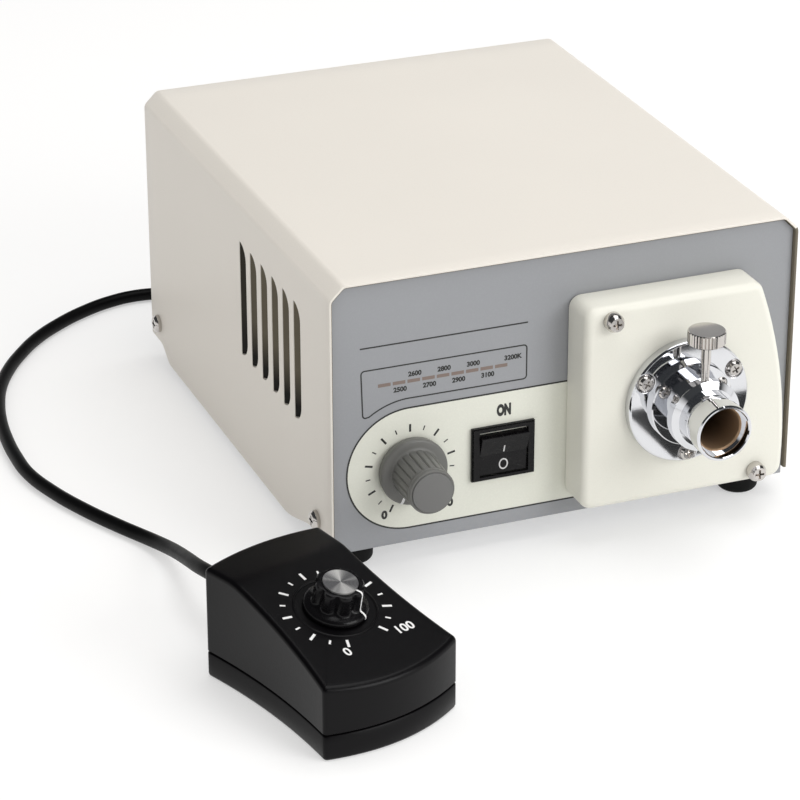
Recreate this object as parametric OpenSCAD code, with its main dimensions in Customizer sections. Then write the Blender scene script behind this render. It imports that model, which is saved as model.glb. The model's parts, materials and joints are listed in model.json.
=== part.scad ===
// Lab light source: a sheet steel case with a lamp, a light guide port, a dial
// and a rocker switch in front, and a small dimmer box on a cord beside it.
// Millimetres, +X right, +Y back, +Z up. The origin lies on the floor under
// the middle of the case and the dimmer box together.

/* [Case] */
// Width over the side walls
case_w = 182; // [176:1:190]
// Depth of the cover from front edge to rear edge
case_d = 212; // [206:1:230]
// Height from the bottom of the front panel to the top
case_h = 105; // [102:1:112]
// Thickness of the steel sheet
sheet = 1.2; // [0.8:0.1:1.5]
// Leg of the chamfer along both top edges
top_chamfer = 5.3; // [3:0.1:8]
// How far the cover's sides reach below the chassis
skirt = 4.7; // [3:0.1:6]
// Height to which their lower edge rises towards the front
front_rise = 3; // [1:0.1:4]
// How far the front panel lies behind the cover's edge
recess = 1.9; // [1.5:0.1:3]
// Thickness of the front panel
panel_t = 0.8; // [0.5:0.1:1.2]

/* [Louvres] */
// Louvres on each side wall
louvre_count = 6; // [2:1:6]
// Distance from one louvre to the next
louvre_pitch = 11.8; // [9:0.1:14]
// Length of a louvre
louvre_len = 46; // [30:1:60]
// Width of a louvre's mouth
louvre_w = 7; // [4:0.1:8]
// Angle by which a louvre's flap is folded in
louvre_fold = 50; // [20:1:70]

/* [Feet] */
// Height of a foot
foot_h = 9; // [7:0.5:12]
// Largest radius of a foot
foot_r = 8; // [6:0.5:10]

/* [Lamp cover] */
// Left edge of the lamp cover
cover_left = 91.5; // [88:0.5:94]
// Bottom edge of the lamp cover
cover_low = 7.5; // [6:0.5:10]
// Top edge of the lamp cover
cover_high = 87; // [84:0.5:90]
// Distance of its face in front of the cover's edge
cover_out = 14; // [12:0.5:18]
// Wall thickness of the lamp cover
cover_wall = 2; // [1.5:0.1:3]

/* [Port] */
// Radius of the light guide bore
guide_r = 8; // [7.5:0.1:8.4]
// Radius of the flange
flange_r = 23.7; // [22:0.1:26]
// Radius of the collar's foot
collar_r = 16; // [15.5:0.1:18]
// Radius of the clamp ring
ring_r = 13.5; // [12:0.1:15]
// Radius of the nose's lip
lip_r = 10.7; // [10.2:0.1:11]
// Radius of the clamp screw's head
clamp_head_r = 6.9; // [5:0.1:8]

/* [Controls] */
// Radius of the dial's skirt
dial_r = 12.9; // [11:0.1:15]
// Width of the switch bezel
bezel_w = 24.5; // [24:0.1:26]
// Height of the switch bezel
bezel_h = 21; // [20.5:0.1:23]
// Tilt of the rocker to each side
rocker_tilt = 9; // [6:0.5:10]

/* [Dimmer box] */
// Length of the dimmer box between its corners
box_l = 69.6; // [66:0.1:72]
// Half width at the back corners
box_back = 24.4; // [22:0.1:26]
// Half width at the front corners
box_front = 28.1; // [26:0.1:30]
// Height at the back
box_high = 41.5; // [39:0.5:44]
// Height at the front corners
box_low = 27; // [25:0.5:29]
// Height of the base
base_h = 9.6; // [8:0.1:11]
// Wall thickness of the dimmer box
box_wall = 2.2; // [1.8:0.1:2.6]

/* [Cord] */
// Diameter of the cord
cord_d = 5.2; // [4.5:0.1:6]

/* [Show] */
// Node to draw

/* [Hidden] */
$fn = 48;
eps = 0.02;

// Places of the case and the dimmer box
case_left = -61;
case_front = -49.5;
box_x = -100.9;
box_y = -89.9;
box_turn = 17.7;

// Case interior
side_in = sheet + 0.2;
wall_front = recess + panel_t;
rear_out = case_d - recess;
rear_in = rear_out - sheet;
rear_rise = 0.8;
screw_low = 8.4;
screw_ends = [15, 202];
louvre_first = 33.5;
louvre_mid = 62.7;
foot_x = 13;
foot_y = 14.5;

// Lamp cover and port
port_x = 131.2;
port_z = 46.9;
bow_r = 181;
bow_x = -8;
bow_z = 22;
cover_spots = [[101.5, 82], [161, 12.2]];
flange_z = cover_out + 4;
collar_z = flange_z + 2.5;
ring_back = 27.2;
ring_z = 31.2;
nose_z = 32.6;
mouth_z = 42.4;
lip_z = 46.6;
clamp_z = 29.5;
liner_r = guide_r + 0.6;
neck_r = liner_r + 1.2;
flange_pcr = 20.3;
collar_pcr = 13;

// Dial and switch
dial_x = 31;
dial_z = 29.5;
shaft_r = 3;
shaft_bore = 3.05;
bush_r = 3.5;
switch_x = 66.5;
switch_z = 30.3;
pivot_in = 4;

// Fan, inlet and jack on the rear wall
fan_x = 130;
fan_z = 50;
fan_s = 80;
fan_t = 25;
fan_hole = 38.5;
fan_pitch = 71.5;
inlet_x = 30;
inlet_z = 42;
jack_x = 72;
jack_z = 26;
drawer_y = -9.9;
inlet_spots = [[-7, 6.6], [0, 2.6], [7, 6.6]];

// Transformer
core_x = 14;
core_y = 110;
core_w = 90;
core_t = 45;
core_h = 75;
limb = 15;

// Control board
board_x = 12;
board_y = 44;
board_w = 72;
board_d = 46;
board_z = 9.2;

// Dimmer box plan: arcs in front and behind, waisted sides
front_bulge = 6.1;
back_bulge = 3.6;
waist = 2.5;
front_arc = (box_front * box_front + front_bulge * front_bulge) / (2 * front_bulge);
back_arc = (box_back * box_back + back_bulge * back_bulge) / (2 * back_bulge);
side_dx = box_front - box_back;
side_len = sqrt(box_l * box_l + side_dx * side_dx);
side_arc = (side_len * side_len / 4 + waist * waist) / (2 * waist);
side_cx = (box_back + box_front) / 2 + box_l / side_len * (side_arc - waist);
side_cy = -box_l / 2 + side_dx / side_len * (side_arc - waist);
bend_y = 15;
slope = atan((box_high - box_low) / (box_l - bend_y));
knob_y = bend_y + 26 * cos(slope);
knob_z = box_high - 26 * sin(slope);
boss_spots = [[-17, -7], [17, -7], [-20, -60], [20, -60]];
gland_z = 18.3;
gland_l = 20;

// Cord: from the plug's boot down onto a coil behind the case, which runs inward on
// its upper layer and outward on the floor, then hand-chosen points to the dimmer box
cord_r = cord_d / 2;
coil_in = 25.5;
coil_pitch = 5.3;
coil_fall = 0.5;
coil_turn = 2;
coil_steps = 46;
boot_end = 47.9;
plug_y = case_front + rear_out + boot_end;
plug_z = foot_h + jack_z;
coil_x = case_left + jack_x + coil_in + coil_pitch * (coil_turn - coil_fall);
run = [[13, 186.5, 2.6], [-1, 195, 2.6], [-15, 203.2, 2.6], [-28, 209.8, 2.6],
  [-40, 214, 2.6], [-52, 215.9, 2.6], [-64, 213.8, 2.6], [-78, 207.6, 2.6], [-91, 199, 2.6],
  [-103, 188.6, 2.6], [-113.5, 176, 2.6], [-122.5, 162.5, 2.6], [-129.8, 147.5, 2.6],
  [-134.8, 132, 2.6], [-138.2, 116, 2.6], [-140.2, 100, 2.6], [-141, 84, 2.6],
  [-140.4, 68.3, 2.6], [-136.2, 50.6, 2.6], [-129.3, 31.9, 2.6], [-120.9, 14, 2.6],
  [-113.8, -1.2, 3.2], [-111, -14, 5.6], [-110.6, -26.5, 9.1], [-111, -38.5, 12.7],
  [-111.1, -50, 15.8], [-110.1, -59.5, 17.8], [-108.1, -67.4, 18.3]];

function fall(u) = u * u * (3 - 2 * u);
function coil_r(t) = coil_in + coil_pitch * (t < coil_fall ? coil_turn - coil_fall : abs(t - coil_turn));
function coil_z(t) = t < coil_fall ? plug_z + (3 * cord_r - plug_z) * fall(t / coil_fall)
  : t < coil_turn ? 3 * cord_r
  : t > coil_turn ? cord_r
  : cord_d;
function coil_pt(t) = [coil_x - coil_r(t) * cos(360 * t), plug_y + coil_r(t) * sin(360 * t), coil_z(t)];
path = concat([for (i = [0:coil_steps]) coil_pt(i / 12)], run);
last = len(path) - 1;
function heading(i) = i == 0 ? [0, 1, 0] : path[min(last, i + 1)] - path[i - 1];
function unit(v) = v / norm(v);
function across(i) = unit(cross(heading(i), [0, 0, 1]));
function upward(i) = unit(cross(across(i), heading(i)));
sides = 10;
cord_points = [for (i = [0:last]) for (k = [0:sides - 1])
  path[i] + cord_r * (cos(360 * k / sides) * across(i) + sin(360 * k / sides) * upward(i))];
cord_faces = concat([[for (k = [0:sides - 1]) k]],
  [for (i = [0:last - 1]) for (k = [0:sides - 1])
    [i * sides + k, (i + 1) * sides + k, (i + 1) * sides + (k + 1) % sides,
      i * sides + (k + 1) % sides]],
  [[for (k = [sides - 1:-1:0]) last * sides + k]]);

// ---- frames ----

module case_frame() {
  translate([case_left, case_front, foot_h]) children();
}

// Looks out of the front: X right, Y up, Z forward from the cover's edge
module front_at(x, z) {
  case_frame() translate([x, 0, z]) rotate([90, 0, 0]) children();
}

// Looks out of the back: X right, Y down, Z backward from the rear wall
module rear_at(x, z) {
  case_frame() translate([x, rear_out, z]) rotate([-90, 0, 0]) children();
}

module port_at() {
  front_at(port_x, port_z) children();
}

module box_frame() {
  translate([box_x, box_y, 0]) rotate([0, 0, box_turn]) children();
}

// Stands on the sloping face of the dimmer box
module slope_at() {
  box_frame() translate([0, -knob_y, knob_z]) rotate([slope, 0, 0]) children();
}

// ---- shared shapes ----

module around(count, radius, start) {
  for (i = [0:count - 1]) rotate([0, 0, start + i * 360 / count])
    translate([radius, 0, 0]) children();
}

module tube(outer, inner, low, high) {
  difference() {
    translate([0, 0, low]) cylinder(r = outer, h = high - low);
    translate([0, 0, low - 1]) cylinder(r = inner, h = high - low + 2);
  }
}

module centred_box(x, y, low, high) {
  translate([-x / 2, -y / 2, low]) cube([x, y, high - low]);
}

// Pan head on +Z with a cross recess, shank along -Z
module cross_screw(head_r, head_h, shank_r, shank_l) {
  slot = head_r * 0.24;
  difference() {
    union() {
      cylinder(r = head_r, h = head_h * 0.6);
      translate([0, 0, head_h * 0.6]) cylinder(r1 = head_r, r2 = head_r * 0.74, h = head_h * 0.4);
      translate([0, 0, -shank_l]) cylinder(r = shank_r, h = shank_l + head_h * 0.3);
    }
    for (a = [0, 90]) rotate([0, 0, a])
      translate([-head_r * 0.52, -slot / 2, head_h * 0.5])
        cube([head_r * 1.04, slot, head_h]);
  }
}

module hex_nut(flat, bore, high) {
  difference() {
    intersection_for(a = [0, 60, 120]) rotate([0, 0, a])
      translate([-flat / 2, -flat, 0]) cube([flat, 2 * flat, high]);
    translate([0, 0, -1]) cylinder(r = bore, h = high + 2);
  }
}

// ---- case ----

// Outline of the cover seen from the front, inset by t
module cover_outline(t, low) {
  b = top_chamfer + t * (sqrt(2) - 1);
  polygon([[t, low], [t, case_h - b], [b, case_h - t], [case_w - b, case_h - t],
    [case_w - t, case_h - b], [case_w - t, low]]);
}

module along_depth(from, to) {
  translate([0, to, 0]) rotate([90, 0, 0]) linear_extrude(to - from) children();
}

// Straight edge at the back, rounded corners in front
module louvre_mouth() {
  r = louvre_w - 0.4;
  intersection() {
    square([louvre_w, louvre_len]);
    union() {
      translate([0, r]) square([louvre_w, louvre_len - 2 * r]);
      translate([r, -1]) square([louvre_w, louvre_len + 2]);
      translate([r, r]) circle(r = r);
      translate([r, louvre_len - r]) circle(r = r);
    }
  }
}

module louvre_cut(y) {
  translate([-1, y, louvre_mid - louvre_len / 2])
    rotate([90, 0, 90]) linear_extrude(sheet + 2) louvre_mouth();
}

// The tongue of a louvre, folded in about the mouth's straight edge
module louvre_flap(y) {
  translate([0, y + louvre_w, louvre_mid - louvre_len / 2]) rotate([0, 0, louvre_fold])
    translate([0.06, -louvre_w, 0]) rotate([90, 0, 90]) linear_extrude(sheet - 0.1) louvre_mouth();
}

// What the rising lower edge leaves out at both ends of the sides
module skirt_ends() {
  drop = skirt + 0.05;
  translate([-1, 0, 0]) rotate([90, 0, 90]) linear_extrude(case_w + 2) {
    polygon(concat([[-1, -drop - 1], [-1, front_rise]],
      [for (i = [0:10]) [16 + 36 * i / 10, front_rise - (front_rise + drop) * fall(i / 10)]],
      [[53, -drop - 1]]));
    polygon(concat([[case_d + 1, -drop - 1], [case_d + 1, rear_rise]],
      [for (i = [0:6]) [200 - 12 * i / 6, rear_rise - (rear_rise + drop) * fall(i / 6)]],
      [[187, -drop - 1]]));
  }
}

module one_side(far) {
  translate([far ? case_w : 0, 0, 0]) mirror([far ? 1 : 0, 0, 0]) children();
}

module case_cover() color("beige") case_frame() {
  difference() {
    along_depth(0, case_d) difference() {
      cover_outline(0, -skirt);
      cover_outline(sheet, -skirt - 1);
    }
    for (far = [false, true]) one_side(far) {
      for (i = [0:louvre_count - 1]) louvre_cut(louvre_first + i * louvre_pitch - louvre_w / 2);
      for (y = screw_ends) translate([-1, y, screw_low]) rotate([0, 90, 0])
        cylinder(r = 2.2, h = sheet + 2);
    }
    skirt_ends();
  }
  for (far = [false, true]) one_side(far)
    for (i = [0:louvre_count - 1]) louvre_flap(louvre_first + i * louvre_pitch - louvre_w / 2);
}

module chassis() color("slategray") case_frame() difference() {
  union() {
    translate([side_in, wall_front, 0]) cube([case_w - 2 * side_in, rear_out - wall_front, sheet]);
    along_depth(wall_front, wall_front + sheet) cover_outline(side_in, 0);
    along_depth(rear_in, rear_out) cover_outline(side_in, 0);
    for (far = [false, true]) one_side(far)
      translate([side_in, wall_front, 0]) cube([sheet, rear_out - wall_front, 15]);
  }
  // lamp window
  translate([port_x - 32, wall_front - 1, port_z - 34]) cube([64, sheet + 2, 68]);
  translate([dial_x, wall_front - 1, dial_z]) rotate([-90, 0, 0]) cylinder(r = bush_r + 0.1, h = sheet + 2);
  translate([switch_x - 11.1, wall_front - 1, switch_z - 9.6]) cube([22.2, sheet + 2, 19.2]);
  for (p = cover_spots) translate([p[0], wall_front - 1, p[1]]) rotate([-90, 0, 0])
    cylinder(r = 2.08, h = sheet + 2);
  for (far = [false, true]) one_side(far) for (y = screw_ends)
    translate([0, y, screw_low]) rotate([0, 90, 0]) cylinder(r = 2.02, h = 4);
  // rear wall: fan grille ring, inlet, jack
  translate([fan_x, rear_in - 1, fan_z]) rotate([-90, 0, 0]) cylinder(r = fan_hole, h = sheet + 2);
  for (sx = [-1, 1]) for (sz = [-1, 1])
    translate([fan_x + sx * fan_pitch / 2, rear_in - 1, fan_z + sz * fan_pitch / 2])
      rotate([-90, 0, 0]) cylinder(r = 2.1, h = sheet + 2);
  translate([inlet_x - 13.7, rear_in - 1, inlet_z - 15.7]) cube([27.4, sheet + 2, 31.4]);
  for (s = [-1, 1]) translate([inlet_x, rear_in - 1, inlet_z + s * 20]) rotate([-90, 0, 0])
    cylinder(r = 1.55, h = sheet + 2);
  translate([jack_x, rear_in - 1, jack_z]) rotate([-90, 0, 0]) cylinder(r = 7.6, h = sheet + 2);
  // floor: feet, transformer, board, lamp bracket, air slots
  foot_spots() translate([0, 0, -1]) cylinder(r = 1.6, h = sheet + 2);
  frame_spots() translate([0, 0, -1]) cylinder(r = 2.02, h = sheet + 2);
  board_spots() translate([0, 0, -1]) cylinder(r = 1.6, h = sheet + 2);
  for (i = [0:5]) translate([118, 78 + i * 12, -1]) cube([38, 5, sheet + 2]);
}

module front_panel() color("gray") case_frame() difference() {
  along_depth(recess, recess + panel_t) cover_outline(side_in, 0);
  translate([port_x - 32, recess - 1, port_z - 34]) cube([64, panel_t + 2, 68]);
  translate([dial_x, recess - 1, dial_z]) rotate([-90, 0, 0]) cylinder(r = bush_r + 0.1, h = panel_t + 2);
  translate([switch_x - 11.1, recess - 1, switch_z - 9.6]) cube([22.2, panel_t + 2, 19.2]);
  for (p = cover_spots) translate([p[0], recess - 1, p[1]]) rotate([-90, 0, 0])
    cylinder(r = 2.08, h = panel_t + 2);
}

module cover_screws() color("silver") case_frame() for (far = [false, true]) one_side(far)
  for (y = screw_ends) translate([0, y, screw_low]) rotate([0, -90, 0])
    cross_screw(3.6, 2.4, 2, 5);

module foot_spots() {
  for (x = [foot_x, case_w - foot_x]) for (y = [foot_y, case_d - foot_y])
    translate([x, y, 0]) children();
}

module feet() color("black") case_frame() foot_spots() rotate_extrude() polygon([
  [1.6, 0], [foot_r, 0], [foot_r - 0.3, -foot_h + 1.2], [foot_r - 1.4, -foot_h],
  [3.4, -foot_h], [3.4, -4], [1.6, -4]]);

module foot_screws() color("silver") case_frame() foot_spots() translate([0, 0, -4])
  rotate([180, 0, 0]) cross_screw(2.9, 2, 1.5, 7);

// ---- light port ----

// Outline of the lamp cover with its bowed right side, inset by t
module lamp_outline(t) {
  intersection() {
    translate([cover_left + t, cover_low + t])
      square([case_w, cover_high - cover_low - 2 * t]);
    translate([bow_x, bow_z]) circle(r = bow_r - t, $fn = 240);
  }
}

module lamp_cover() color("beige") case_frame() difference() {
  union() {
    along_depth(1.6 - cover_out, 1.6) lamp_outline(0);
    along_depth(-cover_out, 2 - cover_out) lamp_outline(1.4);
  }
  along_depth(cover_wall - cover_out, 2) lamp_outline(cover_wall);
  for (p = cover_spots) translate([p[0], -cover_out - 1, p[1]]) rotate([-90, 0, 0])
    cylinder(r = 2.1, h = 4);
  translate([port_x, -cover_out - 1, port_z]) rotate([-90, 0, 0]) cylinder(r = liner_r + 0.5, h = 4);
  translate([port_x, -cover_out - 1, port_z]) rotate([90, 0, 0]) mirror([0, 0, 1])
    around(3, flange_pcr, 30) cylinder(r = 1.52, h = 4);
}

module lamp_cover_screws() color("silver") for (p = cover_spots) front_at(p[0], p[1])
  translate([0, 0, cover_out]) cross_screw(3.5, 4.6, 2, 19);

module port_flange() color("silver") port_at() difference() {
  rotate_extrude() polygon([[liner_r + eps, cover_out], [flange_r, cover_out],
    [flange_r, flange_z - 0.7], [flange_r - 0.7, flange_z], [liner_r + eps, flange_z]]);
  around(3, flange_pcr, 30) translate([0, 0, cover_out - 1]) cylinder(r = 1.55, h = 6);
  around(3, flange_pcr, 30) translate([0, 0, flange_z - 1]) cylinder(r1 = 3, r2 = 3.8, h = 1.01);
  around(3, collar_pcr, 30) translate([0, 0, cover_out - 1]) cylinder(r = 1.27, h = 6);
}

module flange_screws() color("silver") port_at() around(3, flange_pcr, 30)
  translate([0, 0, flange_z - 1]) cross_screw(2.9, 2.2, 1.5, 6);

module port_collar() color("silver") port_at() difference() {
  rotate_extrude() polygon([[liner_r + eps, flange_z], [collar_r, flange_z],
    [collar_r, collar_z - 0.4], [collar_r - 0.4, collar_z], [neck_r, collar_z],
    [neck_r, ring_back], [ring_r - 0.3, ring_back], [ring_r, ring_back + 0.3],
    [ring_r, ring_z], [ring_r - 2.3, nose_z], [liner_r + eps, nose_z]]);
  around(3, collar_pcr, 30) translate([0, 0, flange_z - 1]) cylinder(r = 1.27, h = 5);
  around(3, collar_pcr, 30) translate([0, 0, collar_z - 1.2]) cylinder(r = 2.4, h = 3);
  translate([0, 0, clamp_z]) rotate([-90, 0, 0]) cylinder(r = 1.55, h = ring_r + 1);
}

module collar_screws() color("silver") port_at() around(3, collar_pcr, 30)
  translate([0, 0, collar_z - 1.2]) cross_screw(2.3, 1.9, 1.22, 4.5);

module port_nose() color("silver") port_at() rotate_extrude() polygon([
  [liner_r + eps, nose_z], [10, nose_z], [10, 36.2], [9.5, 36.4], [9.5, 37], [10, 37.2],
  [10, 39.8], [lip_r, 40.3], [lip_r, lip_z - 0.5], [lip_r - 0.5, lip_z], [9.7, lip_z],
  [9.4, lip_z - 0.4], [9.4, mouth_z], [liner_r + eps, mouth_z]]);

module port_liner() color("peru") port_at() difference() {
  rotate_extrude() polygon([[6.5, 15], [liner_r, 15], [liner_r, mouth_z],
    [guide_r + 0.4, mouth_z], [guide_r, mouth_z - 0.6], [guide_r, 22], [6.5, 22]]);
  translate([0, 0, clamp_z]) rotate([-90, 0, 0]) cylinder(r = 1.55, h = ring_r + 1);
}

module clamp_screw() color("silver") port_at() translate([0, 0, clamp_z]) rotate([-90, 0, 0])
  difference() {
    rotate_extrude() polygon([[0, 8.3], [1.2, 8.3], [1.5, 9], [1.5, 20], [1.8, 20.2],
      [1.8, 26.8], [3.2, 28.1], [clamp_head_r - 0.4, 28.1], [clamp_head_r, 28.5],
      [clamp_head_r, 32.7], [clamp_head_r - 0.4, 33.1], [0, 33.1]]);
    around(36, clamp_head_r, 0) rotate([0, 0, 45])
      translate([-0.25, -0.25, 27]) cube([0.5, 0.5, 7]);
  }

// ---- dial and switch ----

module dial_knob() color("dimgray") front_at(dial_x, dial_z) difference() {
  rotate_extrude() polygon([[0, -1.2], [dial_r - 0.4, -1.2], [dial_r, 1.6], [dial_r - 0.4, 2.5],
    [9.5, 2.6], [9, 3.4], [8.6, 17], [8.6, 18.8], [8.3, 19.2], [0, 19.2]]);
  translate([0, 0, -2]) cylinder(r = 6.5, h = 7);
  translate([0, 0, -2]) cylinder(r = shaft_r + eps, h = 18);
  translate([0, 0, 18.6]) cylinder(r = 7.8, h = 2);
  around(20, 9.5, 0) translate([0, 0, 3.6]) cylinder(r = 0.9, h = 12.8, $fn = 16);
}

module dial_cap() color("gray") front_at(dial_x, dial_z) rotate_extrude()
  polygon([[0, 18.6], [7.7, 18.6], [7.7, 19.4], [7.4, 19.8], [0, 19.8]]);

module dial_shaft() color("silver") front_at(dial_x, dial_z)
  translate([0, 0, -10]) cylinder(r = shaft_r, h = 25.5);

module dial_pot() color("silver") front_at(dial_x, dial_z) pot_shape(-wall_front - sheet, 4.2);

// Round body behind the panel, threaded neck through it
module pot_shape(back, neck_l) {
  difference() {
    union() {
      translate([0, 0, back - 11]) cylinder(r = 12, h = 11);
      translate([0, 0, back - 0.5]) cylinder(r = bush_r, h = neck_l + 4.4);
      translate([-6, -17, back - 3]) cube([12, 8, 1.6]);
    }
    translate([0, 0, back - 7]) cylinder(r = shaft_bore, h = 20);
  }
}

module dial_nut() color("silver") front_at(dial_x, dial_z) translate([0, 0, -recess])
  hex_nut(10, bush_r + eps, 2.2);

module switch_body() color("black") front_at(switch_x, switch_z) difference() {
  union() {
    centred_box(bezel_w - 0.8, bezel_h - 0.8, -0.6, 0.2);
    centred_box(bezel_w, bezel_h, -recess, -0.6);
    centred_box(21.8, 18.8, -22, -recess);
    for (x = [-6, 0, 6]) translate([x - 0.4, -3, -29]) cube([0.8, 6, 8]);
  }
  centred_box(19, 17.8, -13, 2);
  translate([-10.3, 0, -pivot_in]) rotate([0, 90, 0]) cylinder(r = 1.25, h = 20.6);
}

module rocker() color("black") front_at(switch_x, switch_z) translate([0, 0, -pivot_in])
  rotate([rocker_tilt, 0, 0]) {
    rotate([90, 0, 90]) translate([0, 0, -9.2]) linear_extrude(18.4) polygon([
      [0, 3.6], [7.6, 4.8], [7.8, 4.5], [7.8, 0.5], [5, -3.5], [-5, -3.5], [-7.8, 0.5],
      [-7.8, 4.5], [-7.6, 4.8]]);
    translate([-10.1, 0, 0]) rotate([0, 90, 0]) cylinder(r = 1.2, h = 20.2);
  }

// ---- lamp ----

module lamp_reflector() color("lightgray") port_at() rotate_extrude() polygon([
  [25, -14], [25, -16.5], [23.9, -16.5], [22.5, -24], [18.5, -33], [13.5, -41], [9, -45], [9, -56],
  [6.2, -56], [6.2, -46], [12.3, -39.5], [17.2, -31.5], [21.2, -22.5], [23.4, -14]]);

module lamp_capsule() color("white") port_at() {
  translate([0, 0, -54]) cylinder(r = 5.6, h = 16);
  translate([0, 0, -38]) sphere(r = 5.6);
  for (x = [-2.65, 2.65]) translate([x, 0, -63]) cylinder(r = 0.8, h = 10);
}

module lamp_socket() color("ivory") port_at() difference() {
  centred_box(26, 14, -72, -56.4);
  for (x = [-2.65, 2.65]) translate([x, 0, -64]) cylinder(r = 0.85, h = 10);
  for (x = [-9.5, 9.5]) translate([x, 0, -73]) cylinder(r = 1.6, h = 20);
}

module lamp_bracket() color("silver") case_frame() difference() {
  union() {
    translate([99, 16.6, sheet]) cube([62, sheet, 77]);
    translate([99, 16.6, sheet]) cube([62, 58.4, sheet]);
    translate([117, 72.1, sheet]) cube([26, sheet, 54]);
  }
  translate([port_x, 10, port_z]) rotate([-90, 0, 0]) cylinder(r = 24.2, h = 10);
  for (x = [-9.5, 9.5]) translate([port_x + x, 70, port_z]) rotate([-90, 0, 0])
    cylinder(r = 1.6, h = 6);
}

module heat_glass() color("lightcyan") port_at()
  translate([0, 0, -11]) cylinder(r = 20, h = 3);

module glass_clips() color("silver") port_at() around(3, 27, 90) {
  translate([-1, -3, -16.6]) cube([5, 6, 0.6]);
  translate([-1, -3, -16.6]) cube([0.6, 6, 9.2]);
  translate([-9, -3, -11.6]) cube([8.6, 6, 0.6]);
  translate([-9, -3, -8]) cube([8.6, 6, 0.6]);
}

// ---- transformer and board ----

module transformer_core() color("dimgray") case_frame() translate([core_x, core_y, sheet + 0.1])
  difference() {
    cube([core_w, core_t, core_h]);
    for (x = [limb, core_w - 2 * limb]) translate([x, -1, limb])
      cube([limb, core_t + 2, core_h - 2 * limb]);
  }

module transformer_coil() color("goldenrod") case_frame()
  translate([core_x + limb + 0.2, core_y - 13, sheet + 0.3 + limb]) difference() {
    cube([core_w - 2 * limb - 0.4, core_t + 26, core_h - 2 * limb - 0.4]);
    translate([limb - 0.4, 12.8, -1])
      cube([core_w - 4 * limb + 0.4, core_t + 0.4, core_h]);
  }

module transformer_frame() color("silver") case_frame() difference() {
  union() {
    for (x = [core_x - 1.6, core_x + core_w + 0.1])
      translate([x, core_y + 6, sheet]) cube([1.5, core_t - 12, core_h + 1.7]);
    translate([core_x - 1.6, core_y + 6, sheet + core_h + 0.2])
      cube([core_w + 3.2, core_t - 12, 1.5]);
    for (x = [core_x - 10.6, core_x + core_w + 0.1])
      translate([x, core_y + 6, sheet]) cube([10.5, core_t - 12, 1.5]);
  }
  frame_spots() translate([0, 0, -1]) cylinder(r = 2.1, h = 6);
}

module frame_spots() {
  for (x = [core_x - 6.2, core_x + core_w + 6.2]) for (y = [core_y + 12, core_y + core_t - 12])
    translate([x, y, 0]) children();
}

module transformer_screws() color("silver") case_frame() frame_spots()
  translate([0, 0, sheet + 1.5]) cross_screw(3.5, 2.4, 2, 3.4);

module board_spots() {
  for (x = [board_x + 4, board_x + board_w - 4]) for (y = [board_y + 4, board_y + board_d - 4])
    translate([x, y, 0]) children();
}

module control_board() color("darkgreen") case_frame() difference() {
  translate([board_x, board_y, board_z]) cube([board_w, board_d, 1.6]);
  board_spots() translate([0, 0, board_z - 1]) cylinder(r = 1.6, h = 4);
}

module board_posts() color("silver") case_frame() board_spots() {
  translate([0, 0, sheet]) cylinder(r = 3, h = board_z - sheet);
  translate([0, 0, 0]) cylinder(r = 1.5, h = board_z + 3.8);
  translate([0, 0, board_z + 1.6]) cylinder(r = 2.8, h = 2.2);
}

module board_capacitors() color("navy") case_frame()
  for (p = [[26, 58, 6, 16], [42, 58, 6, 16], [56, 56, 4, 10]])
    translate([p[0], p[1], board_z + 1.6]) cylinder(r = p[2], h = p[3]);

module heat_sink() color("silver") case_frame() translate([66, 66, board_z + 1.6]) {
  cube([12, 2.5, 24]);
  for (i = [0:3]) translate([i * 3.5, 2.4, 0]) cube([1.4, 8, 24]);
}

module terminal_block() color("green") case_frame() difference() {
  translate([18, 74, board_z + 1.6]) cube([40, 9, 10]);
  for (i = [0:7]) translate([20.5 + i * 5, 78.5, board_z + 6]) cylinder(r = 1.6, h = 8);
}

// ---- fan ----

module fan_frame() color("black") rear_at(fan_x, fan_z) translate([0, 0, -sheet]) difference() {
  union() {
    difference() {
      centred_box(fan_s, fan_s, -fan_t, 0);
      translate([0, 0, -fan_t - 1]) cylinder(r = fan_hole, h = fan_t + 2);
    }
    translate([0, 0, -2.5]) cylinder(r = 17, h = 2.5);
    translate([0, 0, -12]) cylinder(r = 4, h = 11);
    for (a = [45:90:315]) rotate([0, 0, a]) translate([16, -1.5, -2.3]) cube([23.5, 3, 2.1]);
  }
  translate([0, 0, -13]) cylinder(r = 1.55, h = 11);
  for (x = [-1, 1]) for (y = [-1, 1])
    translate([x * fan_pitch / 2, y * fan_pitch / 2, -fan_t - 1]) cylinder(r = 2.1, h = fan_t + 2);
}

module fan_rotor() color("black") rear_at(fan_x, fan_z) translate([0, 0, -sheet]) {
  difference() {
    translate([0, 0, -23]) cylinder(r = 17, h = 20);
    translate([0, 0, -21.5]) cylinder(r = 15.5, h = 20);
  }
  translate([0, 0, -22]) cylinder(r = 1.5, h = 19);
  for (i = [0:6]) rotate([0, 0, i * 360 / 7]) translate([16, 0, -13]) rotate([38, 0, 0])
    translate([0, -0.7, -9.5]) cube([20.4, 1.4, 19]);
}

module fan_guard() color("silver") rear_at(fan_x, fan_z) difference() {
  union() {
    cylinder(r = 39, h = 1.4);
    for (a = [45:90:315]) rotate([0, 0, a]) translate([30, -4.5, 0])
      cube([fan_pitch / 2 * sqrt(2) - 25.5, 9, 1.4]);
  }
  for (r = [8, 14, 20, 26, 32]) tube_bars(r);
  for (x = [-1, 1]) for (y = [-1, 1])
    translate([x * fan_pitch / 2, y * fan_pitch / 2, -1]) cylinder(r = 2.1, h = 4);
}

// One ring-shaped gap of the guard, interrupted by four bars
module tube_bars(r) {
  difference() {
    tube(r + 4.3, r, -1, 3);
    for (a = [45, 135]) rotate([0, 0, a]) centred_box(90, 3, -2, 4);
  }
}

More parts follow.
